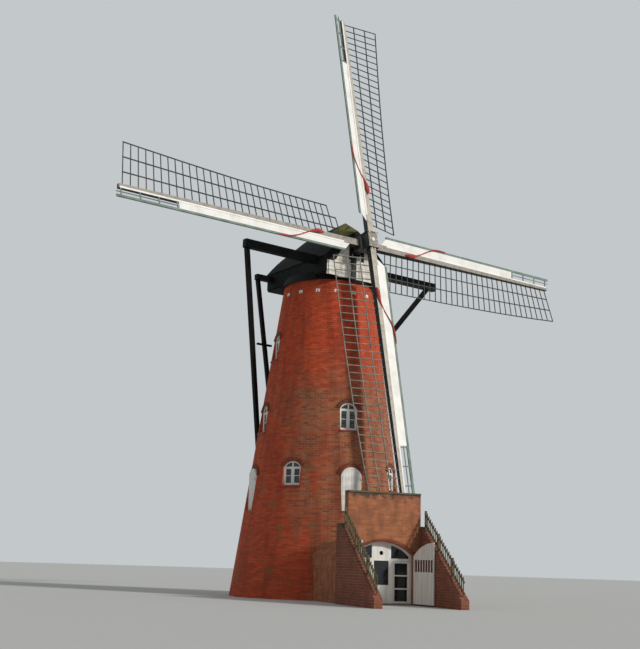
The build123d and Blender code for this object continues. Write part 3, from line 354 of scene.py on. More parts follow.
def flat_courses(tree, where):
    """The same for walls that run along x or y, told apart by the way they face."""
    parts = add(tree, "ShaderNodeSeparateXYZ", {0: where}).outputs
    normal = add(tree, "ShaderNodeNewGeometry").outputs["Normal"]
    sideways = add(tree, "ShaderNodeSeparateXYZ", {0: normal}).outputs[0]
    sideways = add(tree, "ShaderNodeMath", {0: sideways}, operation="ABSOLUTE").outputs[0]
    sideways = add(tree, "ShaderNodeMath", {
        0: sideways, 1: LOOKS_ALONG}, operation="GREATER_THAN").outputs[0]
    along = add(tree, "ShaderNodeMix", {0: sideways, 2: parts[0], 3: parts[1]}).outputs[0]
    return add(tree, "ShaderNodeCombineXYZ", {0: along, 1: parts[2]}).outputs[0], parts


print("bricks round the tower:", BRICKS_ROUND, "course:", COURSE)

# %% [markdown]
# ## The limewashed tower
#
# The tower is hand-laid brick under old red limewash. Limewash is thin and matt: bright and
# almost even where it lasts, near the top, and patched with bare brown brick and pale mortar
# lower down. So one wall is painted, one is bare, and noise chooses between them by height
# and side. Some moss grows near the foot.

# %% Limewashed brick
PAINT_ENDS, PAINT_LASTS = 9.2, 11.8
MOSS_BELOW, MOSS_ENDS = 4.0, 7.0
# metres to the side of the axis between which limewash gives way to bare brick
SHELTERED, EXPOSED, RAGGED_BY = -1.8, -0.6, 1.4
LEAST_BARE, RAIN_DARKENS = 0.15, 0.45


def limewashed_brick():
    """Matt red that hides its bricks high up; brown bricks with pale joints lower down."""
    material, tree = blank_material("limewashed_handmade_brick")
    where = add(tree, "ShaderNodeTexCoord").outputs["Object"]
    courses, parts = round_courses(tree, where)
    painted = add(tree, "ShaderNodeTexBrick", {
        **BOND, "Vector": courses, "Color1": srgb("#d0572e"), "Color2": srgb("#b7401f"),
        "Mortar": srgb("#a9452a")}).outputs
    bare = add(tree, "ShaderNodeTexBrick", {
        **BOND, "Vector": courses, "Color1": srgb("#ad6541"), "Color2": srgb("#85442a"),
        "Mortar": srgb("#a07e62")}).outputs
    worn = patches(tree, where, 1500, 0.42, 0.60, (1, 1, 0.45), 8.0)
    rain = patches(tree, where, 420, 0.45, 0.65, (1, 1, 0.12))
    low = add(tree, "ShaderNodeMapRange", {0: parts[2], 1: PAINT_LASTS, 2: PAINT_ENDS}).outputs[0]
    # the side that faces the rain has lost most of its limewash
    bared = add(tree, "ShaderNodeMath", {
        0: worn, 1: RAGGED_BY, 2: parts[0]}, operation="MULTIPLY_ADD").outputs[0]
    rainy = add(tree, "ShaderNodeMapRange", {
        0: bared, 1: SHELTERED, 2: EXPOSED, 3: LEAST_BARE, 4: 1.0}).outputs[0]
    share = add(tree, "ShaderNodeMath", {0: rainy, 1: low}, operation="MULTIPLY").outputs[0]
    colour = add(tree, "ShaderNodeMix", {
        0: share, 6: painted[0], 7: bare[0]}, data_type="RGBA").outputs[2]
    shade = add(tree, "ShaderNodeMath", {0: rain, 1: RAIN_DARKENS}, operation="MULTIPLY").outputs[0]
    colour = add(tree, "ShaderNodeMix", {
        0: shade, 6: colour, 7: srgb("#7c3420")}, data_type="RGBA").outputs[2]
    moss = patches(tree, where, 800, 0.60, 0.75)
    foot = add(tree, "ShaderNodeMapRange", {0: parts[2], 1: MOSS_ENDS, 2: MOSS_BELOW}).outputs[0]
    moss = add(tree, "ShaderNodeMath", {0: moss, 1: foot}, operation="MULTIPLY").outputs[0]
    colour = add(tree, "ShaderNodeMix", {
        0: moss, 6: colour, 7: srgb("#6f6a3c")}, data_type="RGBA").outputs[2]
    relief = add(tree, "ShaderNodeMath", {0: 1.0, 1: painted[1]}, operation="SUBTRACT").outputs[0]
    close(tree, {"Base Color": colour, "Roughness": 0.88}, relief, BRICK_RELIEF_MM)
    return material


dress(limewashed_brick(), "front_wall", "right_wall", "back_wall", "left_wall", "front_right_wall",
      "back_right_wall", "back_left_wall", "front_left_wall", "wall_over_doors", "base_walls_main",
      "base_walls_diagonal")

# %% [markdown]
# ## Bare brick at the entrance
#
# The entrance was never limewashed. Its facade is orange stock brick and its wings are a
# darker red, and both have gone black and mossy along the top, where water stands. Unpainted
# brick is rough and drinks light; its mortar is the palest thing in it.

# %% Bare brick
def bare_brick(name, first, second, mortar, top, damp_from, damp_to):
    """Unpainted brickwork that turns dark and mossy towards its top edge."""
    material, tree = blank_material(name)
    where = add(tree, "ShaderNodeTexCoord").outputs["Object"]
    courses, parts = flat_courses(tree, where)
    wall = add(tree, "ShaderNodeTexBrick", {
        **BOND, "Vector": courses, "Color1": srgb(first), "Color2": srgb(second),
        "Mortar": srgb(mortar)}).outputs
    stain = patches(tree, where, 350, 0.42, 0.62, (1, 1, 0.5))
    stain = add(tree, "ShaderNodeMath", {0: stain, 1: 0.5}, operation="MULTIPLY").outputs[0]
    colour = add(tree, "ShaderNodeMix", {
        0: stain, 6: wall[0], 7: srgb("#6b4432")}, data_type="RGBA").outputs[2]
    ragged = patches(tree, where, 260, 0.35, 0.65)
    ragged = add(tree, "ShaderNodeMath", {
        0: ragged, 1: 0.35, 2: parts[2]}, operation="MULTIPLY_ADD").outputs[0]
    damp = add(tree, "ShaderNodeMapRange", {0: ragged, 1: damp_from, 2: damp_to}).outputs[0]
    colour = add(tree, "ShaderNodeMix", {0: damp, 6: colour, 7: srgb(top)}, data_type="RGBA").outputs[2]
    relief = add(tree, "ShaderNodeMath", {0: 1.0, 1: wall[1]}, operation="SUBTRACT").outputs[0]
    close(tree, {"Base Color": colour, "Roughness": 0.9}, relief, BRICK_RELIEF_MM)
    return material


# orange and rather even below, and dark only along the top
portal_brick = bare_brick("orange_stock_brick", "#b9754f", "#a2603f", "#a97c5e", "#5a4734", 4.52, 4.72)
# a duller red, with moss far down from the top
wing_brick = bare_brick("weathered_red_brick", "#94503b", "#763d2e", "#907560", "#4a4a34", 2.9, 3.6)
dress(portal_brick, "portal_wall", "portal_piers", "passage_walls", "passage_vault")
dress(wing_brick, "wing_walls")

# %% [markdown]
# ## Timber, paint and tar
#
# Softwood boards carry white oil paint on doors, window frames and wind boards; rain leaves
# faint grey streaks and seams collect dirt. The cap is clad in tarred boards, nearly black and
# dull with age. One function draws painted wood in all these colours: grain follows the
# wood's length, which is given as the stretch of its patches. The cap stands at a heading of
# its own, so a second function turns its boards' seams with it.

# %% Painted and tarred wood
LYING, EVERY_WAY, THIN_LATHS = (1, 0.1, 1), (0.3, 0.3, 0.3), (0.4, 0.4, 0.4)


def painted_wood(name, clean, worn, wear, rough, stretch=(1, 1, 0.1), boards=None, gloss=0.5):
    """boards is (axis, pitch in mm, seam in mm) where the surface is made of boards."""
    material, tree = blank_material(name)
    where = add(tree, "ShaderNodeTexCoord").outputs["Object"]
    streaks = patches(tree, where, 160, 0.5 - wear / 4, 0.85 - wear / 4, stretch)
    colour = add(tree, "ShaderNodeMix", {
        0: streaks, 6: srgb(clean), 7: srgb(worn)}, data_type="RGBA").outputs[2]
    # real grain is 2 mm fine, so it is drawn 14 mm coarse
    grain = patches(tree, where, 14, 0.3, 0.7, stretch, 3.0)
    if boards:
        axis, pitch, seam = boards
        along = add(tree, "ShaderNodeSeparateXYZ", {0: where}).outputs[axis]
        edges = seams(tree, along, pitch, seam)
        dirt = add(tree, "ShaderNodeMix", {
            0: 0.45, 6: srgb(worn), 7: srgb("#15171a")}, data_type="RGBA").outputs[2]
        colour = add(tree, "ShaderNodeMix", {0: edges, 6: dirt, 7: colour}, data_type="RGBA").outputs[2]
        grain = add(tree, "ShaderNodeMath", {
            0: grain, 1: 0.2, 2: edges}, operation="MULTIPLY_ADD").outputs[0]
    close(tree, {"Base Color": colour, "Roughness": rough, "Specular IOR Level": gloss}, grain,
          2.0 if boards else 0.5)
    return material


def turned_to_cap(tree):
    """Coordinates across, back and up for a surface of the cap, at the cap's own heading."""
    where = add(tree, "ShaderNodeTexCoord").outputs["Object"]
    turn = add(tree, "ShaderNodeMapping", {
        "Vector": where, "Rotation": (0, 0, -math.radians(CAP_HEADING))})
    return where, add(tree, "ShaderNodeSeparateXYZ", {0: turn.outputs[0]}).outputs


def turned_boards(name, clean, worn, rough, pitch, seam, axis):
    """Boards on the cap: their seams follow the cap's own heading, not the world's axes."""
    material, tree = blank_material(name)
    where, parts = turned_to_cap(tree)
    edges = seams(tree, parts[axis], pitch, seam)
    streaks = patches(tree, where, 220, 0.4, 0.7, (1, 1, 0.12))
    colour = add(tree, "ShaderNodeMix", {
        0: streaks, 6: srgb(clean), 7: srgb(worn)}, data_type="RGBA").outputs[2]
    colour = add(tree, "ShaderNodeMix", {
        0: edges, 6: srgb("#050606"), 7: colour}, data_type="RGBA").outputs[2]
    close(tree, {"Base Color": colour, "Roughness": rough, "Specular IOR Level": 0.2}, edges, 6)
    return material


# %% White paint
# oil paint on planed joinery: smooth, a soft gloss, hardly soiled
white_joinery = painted_wood("white_oil_painted_joinery", "#f2f2ee", "#d6d6cf", 0.2, 0.45)
# the same paint on boarded doors, where seams show; doors face front or back, or a side
white_doors = painted_wood("white_painted_door_boards", "#f2f2ef", "#cfcfc6", 0.3, 0.5,
                           boards=(0, 150, 9))
side_doors = painted_wood("white_painted_side_door_boards", "#f2f2ef", "#cfcfc6", 0.3, 0.5,
                          boards=(1, 150, 9))
# wind boards lie at every angle, so their streaks have no length
white_sail_boards = painted_wood("white_painted_wind_boards", "#f5f5f3", "#dcddd8", 0.25, 0.5, EVERY_WAY)
# lapped boards on the cap's front: creamier, with broad soiled seams
white_cap_boards = turned_boards("white_painted_weatherboards", "#efeee8", "#bcb7a9", 0.6, 210, 14, 2)
dress(white_joinery, "window_frames", "door_frames", "entrance_screen", "vents", "glazed_door")
dress(white_doors, "front_door", "fixed_doors")
dress(side_doors, "left_door", "outer_leaf_left", "outer_leaf_right")
dress(white_sail_boards, "wind_boards")
dress(white_cap_boards, "cap_front_boards", "breast_beam")

# %% [markdown]
# ## Laths, oak and tar
#
# The lattices are thin laths in one paint, in two copies: three carry a dark grey painted shade
# and the lower one a pale painted sunlight. Bare oak goes silver-brown outdoors. Tar is brushed
# on hot over beams and cladding alike; once old it is black with hardly any shine.

# %% Laths, oak, tar and pine
# painted shade: the laths' paint made dark grey, as on their shaded side, and dry
lattice_paint = painted_wood("shaded_lattice_paint", "#4a4c4c", "#2b2e2f", 0.6, 0.75, THIN_LATHS)
# painted sunlight: the same paint made pale, as where the sun falls on it; a chalky grey
sunlit_painted_lattice = painted_wood("painted_sunlit_lattice_paint", "#8f8b82", "#5c5953", 0.6, 0.75, THIN_LATHS)
# fresher paint with a green cast: the leading laths stand clear of the lattice
edge_paint = painted_wood("grey_green_lath_paint", "#82948a", "#60726a", 0.6, 0.65, THIN_LATHS)
# bare oak: brown and silver streaks down each pale
fence_oak = painted_wood("weathered_oak_paling", "#7d7055", "#4f4632", 0.7, 0.85)
# thin tar over oak: black that still lets some brown through
shaft_oak = painted_wood("tarred_oak_shaft", "#231d18", "#141110", 0.6, 0.55, LYING)
# thick old tar: black, hardly any shine
tarred_timber = painted_wood("tarred_square_timber", "#0a0d0c", "#181c1a", 0.4, 0.7, EVERY_WAY, gloss=0.2)
# the same tar over boards, seams running down the cap's sides or its ends
tarred_sides = turned_boards("tarred_side_boards", "#090c0a", "#151916", 0.75, 190, 12, 1)
tarred_ends = turned_boards("tarred_end_boards", "#090c0a", "#151916", 0.75, 190, 12, 0)
# dark green paint, near black as painted shadow under the shaft; its soft shine tells it from tar
green_post_and_shadow = painted_wood("dark_green_paint_and_painted_shadow", "#0f1a16", "#1a2822", 0.4, 0.55, gloss=0.3)
# scrubbed boards: warm, pale and dull
floor_pine = painted_wood("scrubbed_pine_floor", "#a58a66", "#7d6647", 0.6, 0.7, LYING, boards=(0, 180, 8))
dress(lattice_paint, "lattice_top", "lattice_left", "lattice_right")
dress(sunlit_painted_lattice, "lattice_bottom")
dress(edge_paint, "edge_frames")
dress(fence_oak, "wing_fences")
dress(shaft_oak, "windshaft")
dress(tarred_timber, "cap_frame", "curb_ring", "long_cross_beam", "short_cross_beam", "tail_pole",
      "tail_braces")
dress(tarred_sides, "cap_side_walls", "cap_skirt")
dress(tarred_ends, "cap_rear_wall", "cap_soffit")
dress(green_post_and_shadow, "cap_front_post")
dress(floor_pine, "upper_floors")

# %% [markdown]
# ## Mossy roof
#
# The roof is laid in courses of small oak shingles, almost black, partly from age and partly
# as painted shade. Moss has settled high on the slope that faces the sails, in thick cushions
# that hide the courses; their olive is partly painted sunlight. A brick pattern serves for
# shingles too, as both are laid in rows with broken joints.

# %% Oak shingles
LIT_MOSS_FROM, LIT_MOSS_FULL = TOWER_HEIGHT + 2.1, TOWER_HEIGHT + 2.45
LIT_MOSS_BACK, LIT_MOSS_AHEAD = -0.75, -1.1
SHINGLES = {"Scale": 1.0, "Mortar Size": 0.010, "Mortar Smooth": 0.5, "Brick Width": 0.17,
            "Row Height": 0.16}


def mossy_shingles():
    """Almost black rows with a rough edge, under dull olive cushions near the hood."""
    material, tree = blank_material("mossy_oak_shingles")
    where, parts = turned_to_cap(tree)
    laid = add(tree, "ShaderNodeCombineXYZ", {0: parts[1], 1: parts[2]}).outputs[0]
    # the near-black of the rows is partly the shingles' age and partly painted shade
    rows = add(tree, "ShaderNodeTexBrick", {
        **SHINGLES, "Vector": laid, "Color1": srgb("#1c2220"), "Color2": srgb("#121718"),
        "Mortar": srgb("#080a0a")}).outputs
    moss = patches(tree, where, 260, 0.22, 0.50, detail=8.0)
    upper = add(tree, "ShaderNodeMapRange", {0: parts[2], 1: LIT_MOSS_FROM, 2: LIT_MOSS_FULL}).outputs[0]
    ahead = add(tree, "ShaderNodeMapRange", {0: parts[1], 1: LIT_MOSS_BACK, 2: LIT_MOSS_AHEAD}).outputs[0]
    grown = add(tree, "ShaderNodeMath", {0: upper, 1: ahead}, operation="MULTIPLY").outputs[0]
    moss = add(tree, "ShaderNodeMath", {0: moss, 1: grown}, operation="MULTIPLY").outputs[0]
    # the olive is moss, and partly painted sunlight on the slope that faces the sails
    colour = add(tree, "ShaderNodeMix", {
        0: moss, 6: rows[0], 7: srgb("#7d7a46")}, data_type="RGBA").outputs[2]
    relief = add(tree, "ShaderNodeMath", {0: 1.0, 1: rows[1]}, operation="SUBTRACT").outputs[0]
    relief = add(tree, "ShaderNodeMath", {0: moss, 1: 0.8, 2: relief}, operation="MULTIPLY_ADD").outputs[0]
    close(tree, {"Base Color": colour, "Roughness": 0.92, "Specular IOR Level": 0.25}, relief, 12)
    return material


dress(mossy_shingles(), "cap_roof")

# %% [markdown]
# ## Painted steel and iron
#
# The stocks are steel boxes, pale on the face and black on the sides, the black partly paint and
# partly painted shade. Two materials with the faces picked by hand would do; one material that
# picks its colour by the way a face looks, in the rotor's own frame, keeps the solid whole. The
# poll end is a casting, grey on its face and black on its sides in the same way. Hinge pins are
# iron under black paint, with rust coming through and the grit of the sand mould.

# %% Steel and iron
def two_tone_steel(name, clean, grimy):
    """Pale on faces along the windshaft; black on the others, partly paint and partly painted shade."""
    material, tree = blank_material(name)
    turn = SHAFT.to_3x3().inverted().to_euler()
    place = add(tree, "ShaderNodeTexCoord").outputs
    local = add(tree, "ShaderNodeMapping", {
        "Vector": place["Normal"], "Rotation": tuple(turn)}, vector_type="NORMAL")
    out = add(tree, "ShaderNodeSeparateXYZ", {0: local.outputs[0]}).outputs[2]
    front = add(tree, "ShaderNodeMath", {0: out, 1: LOOKS_ALONG}, operation="GREATER_THAN").outputs[0]
    grime = patches(tree, place["Object"], 240, 0.45, 0.7)
    # the black of the sides is partly paint and partly painted shade, for faces turned from the sun
    pale, dark = [add(tree, "ShaderNodeMix", {
        0: grime, 6: srgb(fresh), 7: srgb(soiled)}, data_type="RGBA").outputs[2]
        for fresh, soiled in ((clean, grimy), ("#1b1e20", "#2e3231"))]
    colour = add(tree, "ShaderNodeMix", {0: front, 6: dark, 7: pale}, data_type="RGBA").outputs[2]
    close(tree, {"Base Color": colour, "Roughness": 0.5}, grime, 0.3)
    return material


def cast_iron():
    """Black with brown blooms and a soft shine."""
    material, tree = blank_material("black_painted_cast_iron")
    where = add(tree, "ShaderNodeTexCoord").outputs["Object"]
    rust = patches(tree, where, 120, 0.55, 0.72)
    # the mould's sand is under 1 mm fine, so it is drawn 6 mm coarse
    sand = patches(tree, where, 6, 0.3, 0.7)
    colour = add(tree, "ShaderNodeMix", {
        0: rust, 6: srgb("#17181a"), 7: srgb("#3a2a22")}, data_type="RGBA").outputs[2]
    close(tree, {"Base Color": colour, "Roughness": 0.55, "Coat Weight": 0.2, "Coat Roughness": 0.35},
          sand, 1.5)
    return material


# pale faces: warm beige on the front stock, darker grey-brown on the back one, grey on the poll end
dress(two_tone_steel("beige_painted_steel", "#b9b2a5", "#968f83"), "front_stock")
dress(two_tone_steel("grey_brown_painted_steel", "#958f84", "#6f6a63"), "back_stock")
dress(two_tone_steel("grey_faced_casting", "#8f897c", "#6b665c"), "poll_end")
dress(cast_iron(), "hinge_pins")

# %% [markdown]
# ## Glass and stone
#
# Old panes are drawn glass: smooth, a little wavy, and mostly dark, because it is dark behind
# them. Fully clear glass would show the empty tower, so it is only partly clear, and that dark
# is painted shade in its colour.
# Coping and floor flags are worn stone, rough and mottled; the coping is the mossier.

# %% Glass and stone
def window_glass(name, bright, dim, clear):
    """Dark and smooth, with waves that bend what it mirrors."""
    material, tree = blank_material(name)
    wave = patches(tree, add(tree, "ShaderNodeTexCoord").outputs["Object"], 300, 0.3, 0.7, detail=1.0)
    colour = add(tree, "ShaderNodeMix", {
        0: wave, 6: srgb(dim), 7: srgb(bright)}, data_type="RGBA").outputs[2]
    close(tree, {"Base Color": colour, "Roughness": 0.06, "IOR": 1.5, "Transmission Weight": clear},
          wave, 1.0)
    return material


def worn_stone(name, light, dark, moss):
    """Dull and mottled, with as much moss as is asked for."""
    material, tree = blank_material(name)
    where = add(tree, "ShaderNodeTexCoord").outputs["Object"]
    mottle = patches(tree, where, 400, 0.3, 0.7)
    colour = add(tree, "ShaderNodeMix", {
        0: mottle, 6: srgb(light), 7: srgb(dark)}, data_type="RGBA").outputs[2]
    growth = patches(tree, where, 180, 0.5, 0.65)
    growth = add(tree, "ShaderNodeMath", {0: growth, 1: moss}, operation="MULTIPLY").outputs[0]
    colour = add(tree, "ShaderNodeMix", {
        0: growth, 6: colour, 7: srgb("#5c5c36")}, data_type="RGBA").outputs[2]
    # real grit is 1 mm fine, so it is drawn 9 mm coarse
    grit = patches(tree, where, 9, 0.3, 0.7)
    close(tree, {"Base Color": colour, "Roughness": 0.85}, grit, 1.5)
    return material


# both glasses carry painted shade: their dark colour stands for the unlit rooms and passage behind
dress(window_glass("old_window_glass", "#525c5e", "#3b4446", 0.4), "window_panes")
dress(window_glass("glass_before_a_dark_passage", "#2b3034", "#1d2124", 0.3), "entrance_panes",
      "glazed_door_panes")
dress(worn_stone("mossy_coping_stone", "#6d6b5c", "#4b4a3d", 0.8), "portal_coping")
dress(worn_stone("worn_floor_flags", "#8a867a", "#6c685d", 0.1), "ground_floor", "passage_floor")

# %% [markdown]
# ## Window bars and sills
#
# Each window is a pair of casements under a segmental head, with a bar across each. The
# solids hold one frame and one pane, so the bars and the sill are added. They are plain
# sawn pieces, so boxes drawn on the wall's own frame are enough.

# %% Window bars and sills
# width, sill, springing and crown of each row of windows, and the headings it faces
WINDOWS = [(size, heading) for size, headings in (
    ((0.90, 5.07, 5.90, 6.18), (45, 135, 225, 315)),
    ((0.90, 7.71, 8.70, 9.01), (0, 90, 180, 270)),
    ((0.80, 11.35, 12.33, 12.58), (90, 270))) for heading in headings]
FRAME_WIDTH, WINDOW_RECESS = 0.06, 0.04
POST_HALF, POST_SHORT, TRANSOM_HALF, BAR_HALF = 0.035, 0.02, 0.03, 0.016
STILE, BOTTOM_RAIL, TOP_RAIL_DROP = 0.045, 0.055, 0.075
POST_DEPTH, TRANSOM_DEPTH = (-0.075, -0.012), (-0.075, -0.018)
STILE_DEPTH, RAIL_DEPTH = (-0.07, -0.025), (-0.068, -0.028)
SILL_OVERHANG, SILL_HEIGHT, SILL_FALL = 0.06, 0.085, 0.012
SILL_PROUD, SILL_BEDDED = 0.035, 0.16


def window_bars(piece, size, heading):
    width, sill, spring, crown = size
    wall = facing(heading, tower_radius(crown) - WINDOW_RECESS)
    half = width / 2 - FRAME_WIDTH
    low, high = sill + FRAME_WIDTH, crown - FRAME_WIDTH
    middle = (low + spring) / 2
    piece.box(wall, (-POST_HALF, POST_HALF), (low, high - POST_SHORT), POST_DEPTH)
    piece.box(wall, (-half, half), (spring - TRANSOM_HALF, spring + TRANSOM_HALF), TRANSOM_DEPTH)
    for side in (-1, 1):
        near, far = sorted((side * POST_HALF, side * half))
        for stile in ((near, near + STILE), (far - STILE, far)):
            piece.box(wall, stile, (low, spring - TRANSOM_HALF), STILE_DEPTH)
        for rail in ((low, low + BOTTOM_RAIL), (spring - TOP_RAIL_DROP, spring - TRANSOM_HALF),
                     (middle - BAR_HALF, middle + BAR_HALF)):
            piece.box(wall, (near, far), rail, RAIL_DEPTH)


def window_sill(piece, size, heading):
    """A sill whose top falls outwards, so that water runs off it."""
    width, sill = size[:2]
    half, under = width / 2 + SILL_OVERHANG, sill - SILL_HEIGHT
    inner, outer = [[(-half, under, out), (half, under, out), (half, top, out), (-half, top, out)]
                    for top, out in ((sill, -SILL_BEDDED), (sill - SILL_FALL, SILL_PROUD))]
    piece.hull(facing(heading, tower_radius(sill)), inner, outer)


# red oxide paint: dull, and browner where it wears
sill_red = painted_wood("red_oxide_painted_sill", "#9a3527", "#6c2a20", 0.5, 0.6)
bars = Piece("window_glazing_bars", "tower", "white_wood", white_joinery, bevel=0.004)
sills = Piece("window_sills", "tower", "brick", sill_red, bevel=0.006)
for size, heading in WINDOWS:
    window_bars(bars, size, heading)
    window_sill(sills, size, heading)
bars.done()
sills.done()

# %% [markdown]
# ## Brick arches
#
# A ring of bricks on end carries the wall over every window and door. Each brick is its own
# block, so that the joints are real gaps and light catches their edges. The tower leans in
# as it rises, so each brick is set out from the wall's own face at its own height.

# %% Brick arches over windows and doors
ARCH_LENGTH, ARCH_BRICK, ARCH_JOINT = 0.21, 0.082, 0.012
ARCH_GAP, ARCH_BEDDED, ARCH_PROUD = 0.004, 0.05, 0.012
DOORWAY, PORTAL = (1.0, 3.96, 5.60, 5.95), (2.78, 0.0, 2.018, 2.57)
PORTAL_FACE, PORTAL_ARCH_LENGTH = 7.45, 0.12
# harder brick, darker than the wall's; its top colour starts at 90 m and so never shows
arch_brick = bare_brick("dark_fired_arch_brick", "#8f412c", "#703023", "#8f6a55", "#5c2c22", 90, 91)


def brick_arch(piece, size, heading, length=ARCH_LENGTH, face=None):
    """Bricks on end over a segmental head, each standing out a little from the wall."""
    width, sill, spring, crown = size
    half, rise = width / 2, crown - spring
    radius = (half * half + rise * rise) / (2 * rise)
    middle = crown - radius
    spread = math.asin(half / radius)
    # an odd number, so that one brick stands at the crown
    count = max(7, round(2 * spread * radius / ARCH_BRICK) | 1)
    step = 2 * spread / count
    wide = radius * step / 2 - ARCH_JOINT / 2
    for index in range(count):
        turn = -spread + (index + 0.5) * step
        high = middle + (radius + length / 2) * math.cos(turn)
        wall = facing(heading, tower_radius(high) if face is None else face)
        place = Matrix.Translation((0, middle, 0)) @ Matrix.Rotation(-turn, 4, "Z")
        piece.box(wall @ place, (-wide, wide), (radius + ARCH_GAP, radius + length),
                  (-ARCH_BEDDED, ARCH_PROUD))


arches = Piece("brick_arches", "tower", "brick", arch_brick, bevel=0.004)
for size, heading in WINDOWS + [(DOORWAY, heading) for heading in (0, 90, 180, 270)]:
    brick_arch(arches, size, heading)
brick_arch(arches, PORTAL, 0, PORTAL_ARCH_LENGTH, PORTAL_FACE)
arches.done()

# %% [markdown]
# ## Red borders
#
# The low windows on the left and behind stand between two flat bands of fresher red paint.
# A mask in the brick material could draw them; a thin plate that leans with the wall gives
# their straight edges without one.

# %% Painted borders
BORDER_HALF, BORDER_LOW, BORDER_HIGH = 0.45, 4.985, 5.92
BORDER_WIDTH, BORDER_PROUD, BORDER_BEDDED = 0.07, 0.007, 0.03
# newer limewash: redder than the wall round it, quite matt
border_red = painted_wood("red_limewash_band", "#a8382a", "#8e3426", 0.5, 0.8)
borders = Piece("painted_borders", "tower", "brick", border_red)
for heading in (225, 315):
    for side in (-1, 1):
        near, far = side * BORDER_HALF, side * (BORDER_HALF + BORDER_WIDTH)
        ends = []
        for height in (BORDER_LOW, BORDER_HIGH):
            wall = facing(heading, tower_radius(height))
            ends.append([wall @ Vector((across, height, out)) for across, out in (
                (near, -BORDER_BEDDED), (far, -BORDER_BEDDED), (far, BORDER_PROUD), (near, BORDER_PROUD))])
        borders.hull(Matrix.Identity(4), *ends)
borders.done()

# %% [markdown]
# ## Furled sail cloths
#
# The red canvas is rolled up and twisted, laid from the stock over the wind boards and tied
# down their leading edge. A roll of cloth is one sheet wound on itself, so that is what is
# built: a spiral section carried along a bent line. It is loose and wide where it lies on
# the stock, and pulled thin and tight towards its end. A cloth simulation could crumple it
# more, but a tight roll keeps its shape, and this way it is the same on every run.

# %% The rolled cloth
STOCK_WIDTH, STOCK_DEPTH = (0.34, 0.20), (0.30, 0.17)
BOARD_TILT, BOARD_SETBACK = math.radians(11), 0.015
# across the arm, along the arm, and the roll's half width there
ROLL_LINE = [(0.10, 2.58, 0.045), (0.10, 2.80, 0.105), (0.07, 3.04, 0.100), (0.00, 3.30, 0.055),
             (-0.13, 3.60, 0.034), (-0.38, 4.10, 0.032), (-0.56, 4.55, 0.045), (-0.61, 4.95, 0.045),
             (-0.625, 5.40, 0.025)]
TURNS, AROUND, ALONG = 7.5, 10, 8
ROLL_LIFT, ROLL_SQUASH, ROLL_CORE, ROLL_TWIST = 0.62, 0.6, 0.25, 4.5
# depths of the folds as shares of the radius, and how far they shift from sail to sail
BROAD_FOLD, FINE_FOLD, FOLD_SHIFT = 0.10, 0.06, 1.3
BEDDED = 0.01


def stock_half(reach, ends):
    return (ends[0] + (ends[1] - ends[0]) * (reach - STOCK_ROOT) / (STOCK_TIP - STOCK_ROOT)) / 2


def cloth_rest(x, reach):
    """Height above the stock's middle of what the cloth lies on at this place."""
    beyond = -x - stock_half(reach, STOCK_WIDTH)
    face = stock_half(reach, STOCK_DEPTH)
    board = face - BOARD_SETBACK + beyond * math.tan(BOARD_TILT)
    return face if beyond < 0 else max(board, face - BEDDED)


def smooth_line(points, steps):
    """A curve through the points, each stretch eased between its neighbours."""
    made = []
    padded = [points[0]] + points + [points[-1]]
    for index in range(1, len(padded) - 2):
        before, start, end, after = [Vector(point) for point in padded[index - 1:index + 3]]
        for step in range(steps):
            t = step / steps
            made.append(0.5 * (2 * start + (end - before) * t
                               + (2 * before - 5 * start + 4 * end - after) * t ** 2
                               + (3 * start - before - 3 * end + after) * t ** 3))
    made.append(Vector(points[-1]))
    return made


def roll_shape(place, seed):
    """The sheet in a bmesh: one spiral ring at each step of the line, joined to the next."""
    line = smooth_line(ROLL_LINE, ALONG)
    centres = [Vector((x, y, cloth_rest(x, y) + size * ROLL_LIFT)) for x, y, size in line]
    shape = bmesh.new()
    rings = []
    walked = 0.0
    for index, centre in enumerate(centres):
        size = line[index][2]
        behind = centres[max(index - 1, 0)]
        along = (centres[min(index + 1, len(centres) - 1)] - behind).normalized()
        across = along.cross(Vector((0, 0, 1))).normalized()
        lift = across.cross(along)
        walked += (centre - behind).length
        ring = []
        for corner in range(int(TURNS * AROUND) + 1):
            turn = 2 * math.pi * corner / AROUND
            grow = ROLL_CORE + (1 - ROLL_CORE) * corner / (TURNS * AROUND)
            fold = (1 + BROAD_FOLD * math.sin(3 * turn + 6 * walked + seed)
                    + FINE_FOLD * math.sin(19 * walked + 2 * seed + turn))
            angle = turn + ROLL_TWIST * walked + seed
            offset = (across * (size * grow * fold * math.cos(angle))
                      + lift * (ROLL_SQUASH * size * grow * fold * math.sin(angle)))
            ring.append(shape.verts.new(place @ (centre + offset)))
        rings.append(ring)
    for first, second in zip(rings, rings[1:]):
        for corner in range(len(first) - 1):
            corners = (first[corner], first[corner + 1], second[corner + 1], second[corner])
            shape.faces.new(corners).smooth = True
    return shape


# %% [markdown]
# ## Canvas
#
# Sail cloth is heavy woven canvas, dyed red and faded in patches. It has no gloss, only the
# faint sheen of loose fibres at the edges of what is seen. A woven pattern would need the
# sheet unwrapped; a fine noise roughens it alike on every turn of the roll.

# %% Canvas and its four rolls
def red_canvas():
    """Dull, uneven red with a soft edge to every fold."""
    material, tree = blank_material("red_woven_canvas")
    where = add(tree, "ShaderNodeTexCoord").outputs["Object"]
    faded = patches(tree, where, 180, 0.35, 0.65)
    colour = add(tree, "ShaderNodeMix", {
        0: faded, 6: srgb("#c2413c"), 7: srgb("#9c2f30")}, data_type="RGBA").outputs[2]
    # threads lie 1 mm apart, so the weave is drawn 12 mm coarse to be seen at all
    weave = patches(tree, where, 12, 0.3, 0.7, detail=1.0)
    close(tree, {"Base Color": colour, "Roughness": 0.9, "Sheen Weight": 0.2, "Sheen Roughness": 0.5},
          weave, 1.0)
    return material


